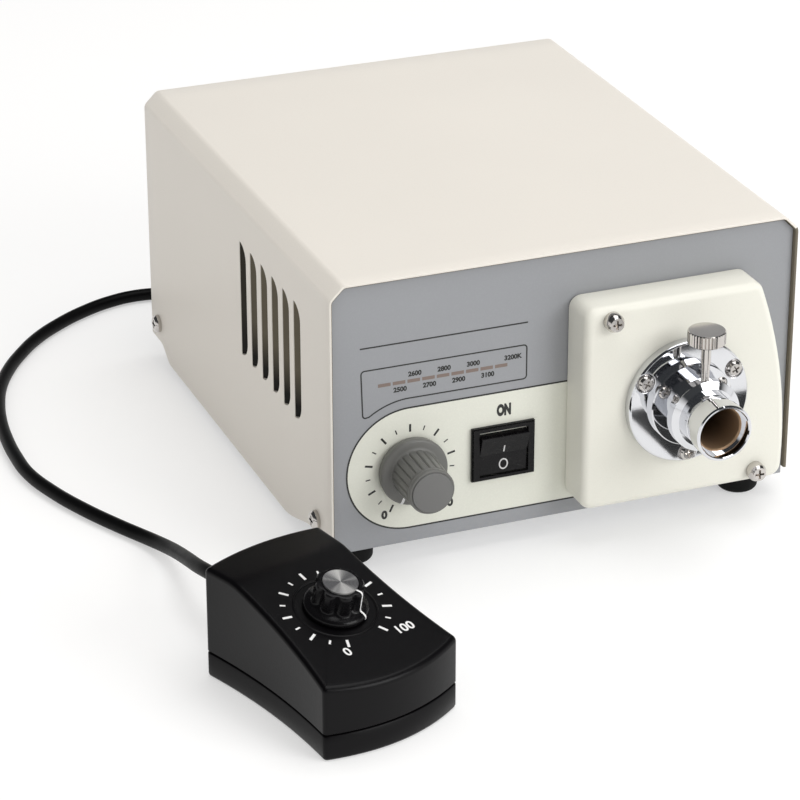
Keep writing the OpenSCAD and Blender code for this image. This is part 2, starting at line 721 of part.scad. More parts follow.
module fan_screws() color("silver") rear_at(fan_x, fan_z)
  for (x = [-1, 1]) for (y = [-1, 1])
    translate([x * fan_pitch / 2, y * fan_pitch / 2, 1.4]) cross_screw(3.5, 2.4, 2, 18);

// ---- power inlet and jack ----

module inlet_outline(w, h, cut) {
  polygon([[-w / 2, -h / 2], [w / 2, -h / 2], [w / 2, h / 2 - cut], [w / 2 - cut, h / 2],
    [cut - w / 2, h / 2], [-w / 2, h / 2 - cut]]);
}

module inlet_body() color("black") rear_at(inlet_x, inlet_z) difference() {
  union() {
    centred_box(30, 50, 0, 2.5);
    centred_box(27, 31, -24, 0.1);
  }
  translate([0, 4.6, -15]) mirror([0, 1, 0]) linear_extrude(20) inlet_outline(22.6, 15.6, 3.5);
  translate([0, drawer_y, 0]) centred_box(20.4, 9.4, -20, 4);
  for (s = [-20, 20]) translate([0, s, -1]) cylinder(r = 1.6, h = 5);
  for (p = inlet_spots) translate([p[0], p[1], -25]) centred_box(2.1, 4.1, 0, 12);
}

module inlet_pins() color("gold") rear_at(inlet_x, inlet_z)
  for (p = inlet_spots) translate([p[0], p[1], -30]) centred_box(2, 4, 0, 27);

module inlet_screws() color("silver") rear_at(inlet_x, inlet_z)
  for (s = [-20, 20]) translate([0, s, 2.5]) cross_screw(2.9, 1.8, 1.5, 7);

module fuse_drawer() color("black") rear_at(inlet_x, inlet_z) translate([0, drawer_y, 0]) difference() {
  union() {
    centred_box(19.6, 8.6, -18, 0);
    centred_box(19.6, 8.6, -0.1, 2.9);
    translate([-5, -4.3, 2.8]) cube([10, 2, 1.4]);
  }
  translate([-8, -2.8, -17]) cube([16, 8, 15]);
}

module dimmer_jack() color("black") rear_at(jack_x, jack_z) difference() {
  union() {
    cylinder(r = 9, h = 1.9);
    translate([0, 0, -14]) cylinder(r = 7.5, h = 14.5);
  }
  translate([0, 0, -8]) cylinder(r = 6.4, h = 12);
}

// ---- dimmer box ----

// Plan of the dimmer box inset by t, back corners at Y = 0
module box_plan(t) {
  difference() {
    intersection() {
      translate([0, front_arc - box_l - front_bulge]) circle(r = front_arc - t, $fn = 120);
      translate([0, back_bulge - back_arc]) circle(r = back_arc - t, $fn = 120);
      translate([-box_front, -box_l - 2 * front_bulge])
        square([2 * box_front, box_l + 4 * front_bulge]);
    }
    for (s = [-1, 1]) translate([s * side_cx, side_cy]) circle(r = side_arc + t, $fn = 240);
  }
}

// Everything below the top surface, lowered by t
module under_top(t) {
  drop = t / cos(slope);
  far = box_l + 2 * front_bulge;
  end_z = box_high - drop - (far - bend_y) * tan(slope);
  translate([-2 * box_front, 0, 0]) rotate([90, 0, 90]) linear_extrude(4 * box_front) polygon([
    [20, 0], [20, box_high - t], [-bend_y + (drop - t) / tan(slope), box_high - t],
    [-far, end_z], [-far, 0]]);
}

module box_shell() color("black") difference() {
  union() {
    difference() {
      box_body(0, 0, base_h);
      box_body(box_wall, box_wall, base_h - 1);
    }
    intersection() {
      box_body(box_wall / 2, box_wall / 2, base_h);
      box_frame() for (p = boss_spots) translate([p[0], p[1], base_h + 0.2])
        cylinder(r = 3.2, h = box_high);
    }
  }
  box_frame() for (p = boss_spots) translate([p[0], p[1], 0]) cylinder(r = 1.5, h = base_h + 11);
  slope_at() translate([0, 0, -6]) cylinder(r = bush_r + 0.1, h = 12);
  gland_at() translate([0, 0, -12]) cylinder(r = 3.52, h = 20);
}

module box_body(t, lower, from) {
  box_frame() intersection() {
    translate([0, 0, from]) linear_extrude(box_high) box_plan(t);
    under_top(lower);
  }
}

module box_base() color("black") box_frame() difference() {
  union() {
    linear_extrude(base_h - 0.5) box_plan(0);
    linear_extrude(base_h) box_plan(0.5);
  }
  translate([0, 0, box_wall]) difference() {
    linear_extrude(base_h) box_plan(box_wall);
    for (p = boss_spots) translate([p[0], p[1], -1]) cylinder(r = 4.2, h = base_h + 2);
  }
  for (p = boss_spots) translate([p[0], p[1], -1]) cylinder(r = 1.7, h = base_h + 2);
  for (p = boss_spots) translate([p[0], p[1], -1]) cylinder(r = 3, h = 4);
}

module box_screws() color("silver") box_frame() for (p = boss_spots)
  translate([p[0], p[1], 3]) rotate([180, 0, 0]) cross_screw(2.7, 1.9, 1.45, 14);

module box_pot() color("silver") slope_at() pot_shape(-box_wall, 2.6);

module box_nut() color("silver") slope_at() hex_nut(10, bush_r + eps, 2.2);

module box_shaft() color("silver") slope_at() translate([0, 0, -8.5]) cylinder(r = shaft_r, h = 18.5);

module box_knob() color("black") slope_at() difference() {
  rotate_extrude() polygon([[0, 0.5], [11.2, 0.5], [11.2, 2], [10, 3], [8.6, 3.4],
    [8.2, 10.2], [7.8, 10.9], [0, 10.9]]);
  translate([0, 0, -1]) cylinder(r = 6.2, h = 5.6);
  translate([0, 0, -1]) cylinder(r = shaft_r + eps, h = 11.1);
  translate([0, 0, 10.3]) cylinder(r = 6.02, h = 2);
  around(8, 10.3, 0) translate([0, 0, 3.9]) cylinder(r = 2.6, h = 5.7);
}

module knob_cap() color("silver") slope_at() translate([0, 0, 10.3])
  cylinder(r = 6, h = 1.1);

// ---- cord ----

// Looks out of the dimmer box's back
module gland_at() {
  box_frame() translate([0, back_bulge, gland_z]) rotate([-90, 0, 0]) children();
}

module cord_gland() color("black") gland_at() rotate_extrude() polygon([
  [cord_r + eps, -5], [5, -5], [5, -box_wall - 0.1], [3.5, -box_wall - 0.1], [3.5, 0.1],
  [5.2, 0.1], [5.2, 2], [4.4, 4], [3.3, gland_l], [cord_r + eps, gland_l]]);

module cord_plug() color("black") rear_at(jack_x, jack_z) {
  cylinder(r = 6.2, h = 3);
  translate([0, 0, 2]) cylinder(r = 7.6, h = 1.5);
  translate([0, 0, 3.4]) cylinder(r = 7.2, h = 26);
}

module plug_boot() color("black") rear_at(jack_x, jack_z) rotate_extrude()
  polygon([[0, 29.4], [6, 29.4], [5.6, 34], [3.4, boot_end], [0, boot_end]]);

module cord() color("black") polyhedron(points = cord_points, faces = cord_faces, convexity = 8);

case_cover();
chassis();
front_panel();
cover_screws();
feet();
foot_screws();
lamp_cover();
lamp_cover_screws();
port_flange();
flange_screws();
port_collar();
collar_screws();
port_nose();
port_liner();
clamp_screw();
dial_knob();
dial_cap();
dial_shaft();
dial_pot();
dial_nut();
switch_body();
rocker();
lamp_reflector();
lamp_capsule();
lamp_socket();
lamp_bracket();
heat_glass();
glass_clips();
transformer_core();
transformer_coil();
transformer_frame();
transformer_screws();
control_board();
board_posts();
board_capacitors();
heat_sink();
terminal_block();
fan_frame();
fan_rotor();
fan_guard();
fan_screws();
inlet_body();
inlet_pins();
inlet_screws();
fuse_drawer();
dimmer_jack();
box_shell();
box_base();
box_screws();
box_pot();
box_nut();
box_shaft();
box_knob();
knob_cap();
cord_gland();
cord_plug();
plug_boot();
cord();
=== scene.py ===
import json
from math import atan2, cos, hypot, pi, radians, sin, tan
import bmesh
import bpy
from mathutils import Matrix, Vector


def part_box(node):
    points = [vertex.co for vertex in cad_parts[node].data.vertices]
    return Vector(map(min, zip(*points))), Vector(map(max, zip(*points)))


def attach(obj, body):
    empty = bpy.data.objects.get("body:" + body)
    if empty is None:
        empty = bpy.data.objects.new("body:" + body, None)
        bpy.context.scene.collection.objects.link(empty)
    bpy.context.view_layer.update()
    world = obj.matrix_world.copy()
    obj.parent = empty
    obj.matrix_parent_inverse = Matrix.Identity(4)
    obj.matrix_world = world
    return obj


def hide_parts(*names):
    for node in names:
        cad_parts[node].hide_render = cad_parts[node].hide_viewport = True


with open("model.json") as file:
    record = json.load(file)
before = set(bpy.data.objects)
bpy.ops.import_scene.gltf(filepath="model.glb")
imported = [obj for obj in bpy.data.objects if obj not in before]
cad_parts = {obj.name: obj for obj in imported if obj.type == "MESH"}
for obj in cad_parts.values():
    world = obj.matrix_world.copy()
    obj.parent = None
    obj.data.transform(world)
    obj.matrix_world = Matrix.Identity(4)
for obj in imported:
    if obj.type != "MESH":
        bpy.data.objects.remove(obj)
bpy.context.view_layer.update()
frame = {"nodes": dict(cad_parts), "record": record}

mm = 0.001
nodes = frame["nodes"]

# places, worked out from the frame
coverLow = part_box("case_cover")[0]
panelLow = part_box("front_panel")[0]
portLow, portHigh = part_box("port_nose")
dialLow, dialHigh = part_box("dial_cap")
bezelLow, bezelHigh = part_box("switch_body")
caseLeft, caseFront, caseFloor = coverLow.x, coverLow.y, panelLow.z
panelFace = panelLow.y


def caseAt(x, y, z):  # millimetres from the case's left, front and panel bottom
    return Vector((caseLeft + x * mm, caseFront + y * mm, caseFloor + z * mm))


def onPanel(x, z, lift):  # a point on the front panel, lifted forward
    return Vector((caseLeft + x * mm, panelFace - lift * mm, caseFloor + z * mm))


portX, portZ = (portLow.x + portHigh.x) / 2, (portLow.z + portHigh.z) / 2
dialX, dialZ = (dialLow.x + dialHigh.x) / 2, (dialLow.z + dialHigh.z) / 2


def dialAt(x, y, z):  # x right, y up, z forward of the cover's front edge
    return Vector((dialX + x * mm, caseFront - z * mm, dialZ + y * mm))


# dimmer box: half widths at the back and front, and where its top bends
remote = {"x": -100.9, "y": -89.9, "turn": 17.7, "length": 69.6, "back": 24.4, "front": 28.1,
          "high": 41.5, "low": 27, "bend": 15, "soft": 0.35, "frontBulge": 6.1, "backBulge": 3.6,
          "waist": 2.5, "base": 9.6, "corner": 1.7, "edge": 1.9, "dialDown": 26, "sideSteps": 22,
          "backSteps": 18, "topRings": 24}
remoteSlope = atan2(remote["high"] - remote["low"], remote["length"] - remote["bend"])
remoteTurn = Matrix.Rotation(radians(remote["turn"]), 4, "Z")
remoteMatrix = Matrix.Translation((remote["x"] * mm, remote["y"] * mm, 0)) @ remoteTurn
slopeMatrix = (remoteMatrix
               @ Matrix.Translation((0, -(remote["bend"] + remote["dialDown"] * cos(remoteSlope)) * mm,
                                     (remote["high"] - remote["dialDown"] * sin(remoteSlope)) * mm))
               @ Matrix.Rotation(remoteSlope, 4, "X"))


def remoteAt(x, y, z):
    return remoteMatrix @ Vector((x * mm, y * mm, z * mm))


def slopeAt(x, y, z):  # on the sloping face, about its dial
    return slopeMatrix @ Vector((x * mm, y * mm, z * mm))


def ease(u):  # 0 to 1, slow at both ends
    u = min(1, max(0, u))
    return u * u * (3 - 2 * u)


def placed(name, data):  # a new object in the scene
    made = bpy.data.objects.new(name, data)
    bpy.context.scene.collection.objects.link(made)
    return made


# camera
print("camera")
view = {"place": (-0.4192, -1.0303, 0.5653), "turn": (64.684, 0.112, -21.459), "lens": 148.62}
cameraData = bpy.data.cameras.new("photoCamera")
cameraData.lens = view["lens"]
cameraData.sensor_width = 36
cameraData.clip_start = 0.05
cameraData.clip_end = 20
cameraObject = placed("photoCamera", cameraData)
cameraObject.location = view["place"]
cameraObject.rotation_euler = [radians(a) for a in view["turn"]]
bpy.context.scene.camera = cameraObject
bpy.context.scene.view_settings.view_transform = "Standard"


# shader sums
class Wire:  # one shader output that takes part in sums
    def __init__(self, tree, socket):
        self.tree = tree
        self.socket = socket

    def calc(self, operation, *values):
        node = self.tree.nodes.new("ShaderNodeMath")
        node.operation = operation
        for target, value in zip(node.inputs, values):
            connect(self.tree, target, value)
        return Wire(self.tree, node.outputs[0])

    def __add__(self, other):
        return self.calc("ADD", self, other)

    def __radd__(self, other):
        return self.calc("ADD", other, self)

    def __sub__(self, other):
        return self.calc("SUBTRACT", self, other)

    def __rsub__(self, other):
        return self.calc("SUBTRACT", other, self)

    def __mul__(self, other):
        return self.calc("MULTIPLY", self, other)

    def __rmul__(self, other):
        return self.calc("MULTIPLY", other, self)

    def __truediv__(self, other):
        return self.calc("DIVIDE", self, other)

    def __rtruediv__(self, other):
        return self.calc("DIVIDE", other, self)

    def __pow__(self, other):
        return self.calc("POWER", self, other)

    def __rpow__(self, other):
        return self.calc("POWER", other, self)

    def clip(self, low=0.0, high=1.0):
        return self.calc("MINIMUM", self.calc("MAXIMUM", self, low), high)


def connect(tree, target, value):
    if isinstance(value, Wire):
        tree.links.new(value.socket, target)
    else:
        target.default_value = value


def tone(red, green, blue):  # screen colour 0..255 to scene colour
    def linear(c):
        c = c / 255
        return c / 12.92 if c <= 0.04045 else ((c + 0.055) / 1.055) ** 2.4
    return (linear(red), linear(green), linear(blue), 1.0)


class NodeBoard:  # a tree that nodes are added to
    def __init__(self, tree):
        self.tree = tree

    def node(self, kind, settings=None, sockets=None, out=0):  # out is one output, or a tuple of them
        node = self.tree.nodes.new(kind)
        for key, value in (settings or {}).items():
            setattr(node, key, value)
        for key, value in (sockets or {}).items():
            connect(self.tree, node.inputs[key], value)
        if isinstance(out, tuple):
            return [Wire(self.tree, node.outputs[one]) for one in out]
        return Wire(self.tree, node.outputs[out])

    def rayKinds(self):  # 1 or 0 for rays from the camera, from shiny faces and from glass
        return self.node("ShaderNodeLightPath",
                         out=("Is Camera Ray", "Is Glossy Ray", "Is Transmission Ray"))


class Finish(NodeBoard):  # a material while it is being made
    def __init__(self, name):
        self.material = bpy.data.materials.new(name)
        self.material.use_nodes = True
        super().__init__(self.material.node_tree)
        self.shader = self.tree.nodes["Principled BSDF"]
        self.place = self.node("ShaderNodeTexCoord", out="Object")

    def noise(self, scale, detail, rough=0.5, place=None):
        return self.node("ShaderNodeTexNoise", sockets={"Vector": place or self.place, "Scale": scale,
                                                        "Detail": detail, "Roughness": rough})

    def stretched(self, x, y, z):
        return self.node("ShaderNodeMapping", sockets={"Vector": self.place, "Scale": (x, y, z)})

    def mix(self, share, first, second):
        return self.node("ShaderNodeMix", {"data_type": "RGBA"}, {0: share, 6: first, 7: second}, out=2)

    def parts(self):  # the place's x, y and z
        return self.node("ShaderNodeSeparateXYZ", sockets={0: self.place}, out=(0, 1, 2))

    def bump(self, height, strength, distance):
        return self.node("ShaderNodeBump", sockets={"Height": height, "Strength": strength,
                                                    "Distance": distance})

    def put(self, **values):
        for key, value in values.items():
            connect(self.tree, self.shader.inputs[key.replace("_", " ")], value)
        return self.material


def shade(colour, factor):
    return tuple(c * factor for c in colour[:3]) + (colour[3],)


# materials
print("materials")


def powderCoat(name, colour, rough=0.42, grain=1100):  # sprayed and baked, finely pebbled
    f = Finish(name)
    wide = f.noise(14, 2)
    fine = f.noise(grain, 2, 0.6)
    specks = (f.noise(grain * 1.7, 1) - 0.62) * 6
    base = f.mix(wide, shade(colour, 0.975), shade(colour, 1.02))
    base = f.mix(specks.clip(0, 0.12), base, shade(colour, 0.8))
    return f.put(Base_Color=base, Roughness=(rough - 0.05 + fine * 0.1).clip(),
                 Normal=f.bump(fine, 0.35, 0.00006), Specular_IOR_Level=0.28)


def printedPanel(name, colour):  # smooth satin screen print on sheet
    f = Finish(name)
    wide = f.noise(18, 2)
    fine = f.noise(1900, 2)
    base = f.mix(wide, shade(colour, 0.96), shade(colour, 1.03))
    base = f.mix((fine - 0.45).clip(0, 0.25), base, shade(colour, 1.12))
    return f.put(Base_Color=base, Roughness=(0.36 + fine * 0.12).clip(),
                 Normal=f.bump(fine, 0.2, 0.00003))


def ink(name, colour):
    f = Finish(name)
    grain = f.noise(2600, 2)
    base = f.mix(grain, shade(colour, 0.85), shade(colour, 1.12))
    return f.put(Base_Color=base, Roughness=(0.39 + grain * 0.12).clip(),
                 Normal=f.bump(grain, 0.15, 0.00002))


def moulded(name, colour, rough, grain=1500, height=0.00004, gloss=0.5):  # textured plastic
    f = Finish(name)
    wide = f.noise(25, 2)
    fine = f.noise(grain, 3, 0.65)
    base = f.mix(wide, shade(colour, 0.9), shade(colour, 1.12))
    return f.put(Base_Color=base, Roughness=(rough - 0.07 + fine * 0.14).clip(),
                 Normal=f.bump(fine, 0.4, height), Specular_IOR_Level=gloss)


def softRubber(name, colour):
    f = Finish(name)
    dust = f.noise(60, 4)
    fine = f.noise(2200, 3)
    base = f.mix((dust - 0.5).clip(0, 0.5), colour, shade(colour, 2.2))
    return f.put(Base_Color=base, Roughness=(0.65 + fine * 0.12).clip(),
                 Normal=f.bump(fine, 0.35, 0.00006), Specular_IOR_Level=0.2)


def mirrorMetal(name, colour, rough):  # polished and plated
    f = Finish(name)
    haze = f.noise(90, 3)
    hair = f.noise(40, 2, place=f.stretched(40, 3, 40))
    base = f.mix(haze, shade(colour, 0.97), colour)
    return f.put(Base_Color=base, Metallic=1.0,
                 Roughness=(rough + (haze - 0.5) * 0.04 + hair * 0.015).clip(),
                 Normal=f.bump(hair, 0.03, 0.00002))


def sheetMetal(name, colour, rough=0.34):  # zinc plated, with rolling marks
    f = Finish(name)
    rolled = f.noise(60, 3, place=f.stretched(1, 22, 1))
    cloud = f.noise(35, 4)
    base = f.mix(cloud, shade(colour, 0.86), shade(colour, 1.08))
    return f.put(Base_Color=base, Metallic=1.0, Roughness=(rough - 0.08 + rolled * 0.18).clip(),
                 Normal=f.bump(rolled, 0.12, 0.00003))


def warmMetal(name, colour, rough):  # turned brass
    f = Finish(name)
    turned = f.noise(70, 3, place=f.stretched(1, 30, 1))
    cloud = f.noise(120, 3)
    base = f.mix(cloud, shade(colour, 0.65), shade(colour, 1.25))
    return f.put(Base_Color=base, Metallic=1.0, Roughness=(rough - 0.06 + turned * 0.16).clip(),
                 Normal=f.bump(turned, 0.15, 0.00003))


# painted light and shade in the bore: metres in front of the cover where it starts to darken, and how far
# that takes
bore = {"start": 0.046, "run": 0.028, "mouth": tone(206, 172, 138), "inside": tone(26, 19, 14)}


def shadedBoreLining(name):  # browned bore with painted light and shade: pale at the mouth, dark further in where shadow falls
    f = Finish(name)
    depth = ((f.parts()[1] - caseFront + bore["start"]) / bore["run"]).clip()
    turned = f.noise(70, 3, place=f.stretched(1, 30, 1))
    base = f.mix(depth, bore["mouth"], bore["inside"])
    return f.put(Base_Color=base, Metallic=0.55, Roughness=(0.32 + turned * 0.16).clip(),
                 Normal=f.bump(turned, 0.2, 0.00003))


def clearGlass(name, colour):
    f = Finish(name)
    haze = f.noise(80, 3)
    base = f.mix(haze, shade(colour, 0.97), colour)
    return f.put(Base_Color=base, Roughness=(0.03 + haze * 0.05).clip(),
                 Transmission_Weight=0.85, IOR=1.46)


def windingTape(name, colour):  # layers of tape round the coils
    f = Finish(name)
    lap = f.node("ShaderNodeTexWave", {"bands_direction": "Z"}, {"Vector": f.place, "Scale": 60.0,
                                                                 "Distortion": 0.6, "Detail": 1.0})
    fine = f.noise(900, 2)
    base = f.mix(lap, shade(colour, 0.8), shade(colour, 1.1))
    return f.put(Base_Color=base, Roughness=(0.35 + fine * 0.15).clip(), Normal=f.bump(lap, 0.2, 0.0001))


def stackedSheets(name, colour):  # the edges of a transformer's laminations
    f = Finish(name)
    leaf = f.node("ShaderNodeTexWave", {"bands_direction": "Y"}, {"Vector": f.place, "Scale": 320.0,
                                                                  "Distortion": 0.3, "Detail": 1.0})
    cloud = f.noise(60, 3)
    base = f.mix(cloud, shade(colour, 0.8), shade(colour, 1.3))
    return f.put(Base_Color=base, Metallic=0.6, Roughness=(0.45 + cloud * 0.15).clip(),
                 Normal=f.bump(leaf, 0.4, 0.0001))


def circuitBoard(name, colour):
    f = Finish(name)
    tracks = f.node("ShaderNodeTexBrick", sockets={"Vector": f.place, "Scale": 90.0, "Mortar Size": 0.06,
                                                   "Color1": colour, "Color2": shade(colour, 1.15),
                                                   "Mortar": shade(colour, 1.9)})
    fine = f.noise(1500, 2)
    return f.put(Base_Color=tracks, Roughness=(0.3 + fine * 0.1).clip(),
                 Normal=f.bump(fine, 0.1, 0.00003))


def spunAluminiumPaintedHighlights(name, matrix, height):  # turned face with painted highlights: bright fans about its middle stand in for the spun metal's reflections
    f = Finish(name)

    def vectorSum(operation, first, second, out):
        return f.node("ShaderNodeVectorMath", {"operation": operation}, {0: first, 1: tuple(second)}, out)

    turn = matrix.to_3x3()
    offset = vectorSum("SUBTRACT", f.place, matrix @ Vector((0, 0, height * mm)), "Vector")
    across = vectorSum("DOT_PRODUCT", offset, turn @ Vector((1, 0, 0)), "Value")
    along = vectorSum("DOT_PRODUCT", offset, turn @ Vector((0, 1, 0)), "Value")
    angle = across.calc("ARCTAN2", along, across)
    # painted highlights: broad fans and narrow streaks, by angle round the middle
    highlightFans = (angle.calc("COSINE", angle * 2 - 2.6) * 0.5 + 0.5) ** 3
    narrow = (angle.calc("COSINE", angle * 5 + 0.7) * 0.5 + 0.5) ** 6
    radius = (across * across + along * along) ** 0.5
    rings = (radius.calc("SINE", radius * 14000) * 0.5 + 0.5)
    light = (highlightFans * 0.75 + narrow * 0.25).clip()
    base = f.mix(light, tone(98, 98, 100), tone(215, 214, 212))
    return f.put(Base_Color=base, Metallic=0.45, Roughness=(0.22 + rings * 0.1).clip(),
                 Normal=f.bump(rings, 0.08, 0.00003))


finishes = {
    "cover_paint": powderCoat("creamPowderCoat", tone(231, 226, 218)),
    "housing_paint": powderCoat("creamHousingCoat", tone(232, 231, 221), 0.38, 1300),
    "panel_paint": printedPanel("grayPanelPrint", tone(152, 154, 158)),
    "chassis_steel": sheetMetal("galvanisedSheet", tone(176, 178, 180), 0.45),
    "nickel": mirrorMetal("nickelPlate", tone(204, 200, 196), 0.14),
    "rubber_black": softRubber("blackRubber", tone(9, 9, 9)),
    "port_chrome": mirrorMetal("mirrorChrome", tone(222, 223, 226), 0.05),
    "liner_bronze": shadedBoreLining("brownedLinerPaintedShade"),
    "knob_gray": moulded("grayKnobPlastic", tone(104, 104, 101), 0.38, height=0.00002),
    "cap_gray": moulded("grayCapPlastic", tone(108, 108, 107), 0.38),
    "switch_black": moulded("blackSwitchPlastic", tone(12, 11, 13), 0.26, 1800, 0.00002, gloss=0.2),
    "mirror_coat": mirrorMetal("reflectorCoat", tone(225, 225, 225), 0.1),
    "quartz": clearGlass("quartzGlass", tone(240, 242, 244)),
    "ceramic_white": moulded("socketCeramic", tone(226, 220, 206), 0.55),
    "heat_filter": clearGlass("heatFilterGlass", tone(205, 230, 230)),
    "zinc_sheet": sheetMetal("zincPlate", tone(190, 190, 190)),
    "core_iron": stackedSheets("laminatedIron", tone(58, 56, 54)),
    "winding": windingTape("windingTape", tone(204, 160, 64)),
    "board_green": circuitBoard("greenBoard", tone(24, 84, 46)),
    "capacitor_blue": moulded("capacitorSleeve", tone(30, 38, 74), 0.3),
    "sink_aluminium": sheetMetal("plainAluminium", tone(205, 206, 208), 0.4),
    "terminal_green": moulded("terminalPlastic", tone(38, 110, 70), 0.4),
    "fan_black": moulded("fanPlastic", tone(22, 22, 23), 0.42, gloss=0.3),
    "guard_steel": mirrorMetal("brightWire", tone(200, 200, 202), 0.18),
    "inlet_black": moulded("inletPlastic", tone(20, 20, 21), 0.38, gloss=0.3),
    "pin_brass": warmMetal("platedPins", tone(214, 196, 150), 0.25),
    "box_black": moulded("blackBoxPlastic", tone(6, 5, 7), 0.32, 900, gloss=0.16),
    "cord_black": moulded("blackSheath", tone(9, 9, 10), 0.42, 700, gloss=0.1),
    "cap_spun": spunAluminiumPaintedHighlights("spunCapPaintedHighlights", slopeMatrix, 11.4),
}
# painted shade: a dim cream for the cover's inside and the right wall's front rim, standing in for the
# shade there
coverShadeLining = powderCoat("coverPaintedShade", tone(112, 105, 92), 0.6)
# painted shade on the tongues, darker low down and towards the rear: metres up from the panel's lower edge
# and back from the cover's front
flapShadeFade = {"foot": 0.044, "rise": 0.014, "rear": 0.094, "run": 0.012, "least": 0.15}


def shadedFlap(name):  # the folded tongues: painted shade, cream paint dimmed as if in shadow, darker towards their foot and towards the rear
    f = Finish(name)
    y, z = f.parts()[1:]
    height = (z - caseFloor - flapShadeFade["foot"]) / flapShadeFade["rise"]
    depth = (caseFront + flapShadeFade["rear"] - y) / flapShadeFade["run"]
    light = height.clip() * depth.clip(flapShadeFade["least"], 1)
    grain = f.noise(900, 2)
    base = f.mix(light, tone(24, 22, 19), tone(108, 101, 86))
    return f.put(Base_Color=base, Roughness=(0.55 + grain * 0.1).clip(), Specular_IOR_Level=0.2,
                 Normal=f.bump(grain, 0.3, 0.00005))


flapShade = shadedFlap("flapPaintedShade")
darkInk = ink("darkInk", tone(36, 36, 34))
creamInk = printedPanel("creamPrint", tone(226, 227, 216))
brownInk = ink("brownInk", tone(128, 112, 104))
whiteInk = ink("whiteInk", tone(236, 236, 236))
switchInk = ink("switchInk", tone(206, 206, 206))

for part in frame["record"]["subparts"]:
    nodes[part["node"]].data.materials.clear()
    nodes[part["node"]].data.materials.append(finishes[part["material_slot"]])


# mesh tools
weldDistance = 2e-6
sharpAngle = 32
inkThick = 0.03


def addPiece(name, shape, body, material=None, slot=None, stands=(), smoothAngle=sharpAngle,
             lining=None, lined=()):  # shape is (points, faces); lined faces take the lining
    points, faces = shape
    mesh = bpy.data.meshes.new(name)
    mesh.from_pydata([tuple(p) for p in points], [], faces)
    for i in lined:
        mesh.polygons[i].material_index = 1
    tidy = bmesh.new()
    tidy.from_mesh(mesh)
    bmesh.ops.remove_doubles(tidy, verts=tidy.verts, dist=weldDistance)
    bmesh.ops.recalc_face_normals(tidy, faces=tidy.faces)
    tidy.to_mesh(mesh)
    tidy.free()
    mesh.shade_smooth()
    mesh.set_sharp_from_angle(angle=radians(smoothAngle))
    mesh.materials.append(material or finishes[slot])
    if lining:
        mesh.materials.append(lining)
    piece = placed(name, mesh)
    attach(piece, body)
    if stands:
        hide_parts(*stands)
    return piece


def finishedMesh(piece):  # its mesh with curves and modifiers worked out
    bpy.context.view_layer.update()
    return bpy.data.meshes.new_from_object(piece.evaluated_get(bpy.context.evaluated_depsgraph_get()))


def soften(piece, width):
    weld = piece.modifiers.new("weld", "WELD")
    weld.merge_threshold = weldDistance
    rounding = piece.modifiers.new("rounding", "BEVEL")
    rounding.width = width * mm
    rounding.segments = 2
    rounding.limit_method = "ANGLE"
    rounding.angle_limit = radians(35)
    rounding.harden_normals = True


def joined(*shapes):  # several (points, faces) as one
    points, faces = [], []
    for shapePoints, shapeFaces in shapes:
        start = len(points)
        points += shapePoints
        faces += [tuple(start + i for i in face) for face in shapeFaces]
    return points, faces


def loft(rings, capFirst=False, capLast=False):  # closed rings of equal length, each joined to the next
    count = len(rings[0])
    points = [p for ring in rings for p in ring]
    faces = []
    for start in range(0, (len(rings) - 1) * count, count):
        for i in range(count):
            after = (i + 1) % count
            faces.append((start + i, start + after, start + count + after, start + count + i))
    if capFirst:
        faces.append(tuple(range(count)))
    if capLast:
        faces.append(tuple((len(rings) - 1) * count + i for i in range(count)))
    return points, faces


quarterTurn = [radians(15 * k) for k in range(7)]  # for a rounded edge


def circle(count):
    return [2 * pi * i / count for i in range(count)]


def spin(profile, at, count=96):  # profile of (radius, height), about the local axis
    return loft([[at(r * cos(a), r * sin(a), h) for a in circle(count)] for r, h in profile])


def roundCorners(points, radii, steps, closed=True):
    made = []
    count = len(points)
    for i, (x, y) in enumerate(points):
        radius = radii[i] if isinstance(radii, (list, tuple)) else radii
        if radius <= 0 or (not closed and i in (0, count - 1)):
            made.append((x, y))
            continue
        here = Vector((x, y))
        back = (Vector(points[i - 1]) - here).normalized()
        ahead = (Vector(points[(i + 1) % count]) - here).normalized()
        half = back.angle(ahead) / 2
        reach = radius / tan(half)
        centre = here + (back + ahead).normalized() * (radius / sin(half))
        first = here + back * reach - centre
        last = here + ahead * reach - centre
        sweep = first.angle_signed(last)
        for k in range(steps + 1):
            turned = Matrix.Rotation(-sweep * k / steps, 2) @ first
            made.append(tuple(centre + turned))
    return made


def insetLoop(loop, depth, closed=True):  # moves an outline to its left-hand side
    made = []
    count = len(loop)
    for i, (x, y) in enumerate(loop):
        before = loop[i - 1] if closed or i else None
        after = loop[(i + 1) % count] if closed or i < count - 1 else None
        sides = []
        if before is not None:
            sides.append(Vector((x - before[0], y - before[1])))
        if after is not None:
            sides.append(Vector((after[0] - x, after[1] - y)))
        normals = [Vector((-s.y, s.x)).normalized() for s in sides if s.length > 1e-9]
        middle = sum(normals, Vector((0, 0))).normalized()
        stretch = 1 / max(0.5, middle.dot(normals[0]))
        made.append((x + middle.x * depth * stretch, y + middle.y * depth * stretch))
    return made


def ribbon(path, width, at, closed=False, thick=inkThick):  # a printed line of even width
    left = insetLoop(path, width / 2, closed)
    right = insetLoop(path, -width / 2, closed)
    rings = [[at(*a, 0), at(*a, thick), at(*b, thick), at(*b, 0)] for a, b in zip(left, right)]
    if closed:
        rings.append(rings[0])
    return loft(rings, not closed, not closed)


def plate(outline, at, low, high):
    return loft([[at(x, y, z) for x, y in outline] for z in (low, high)], True, True)


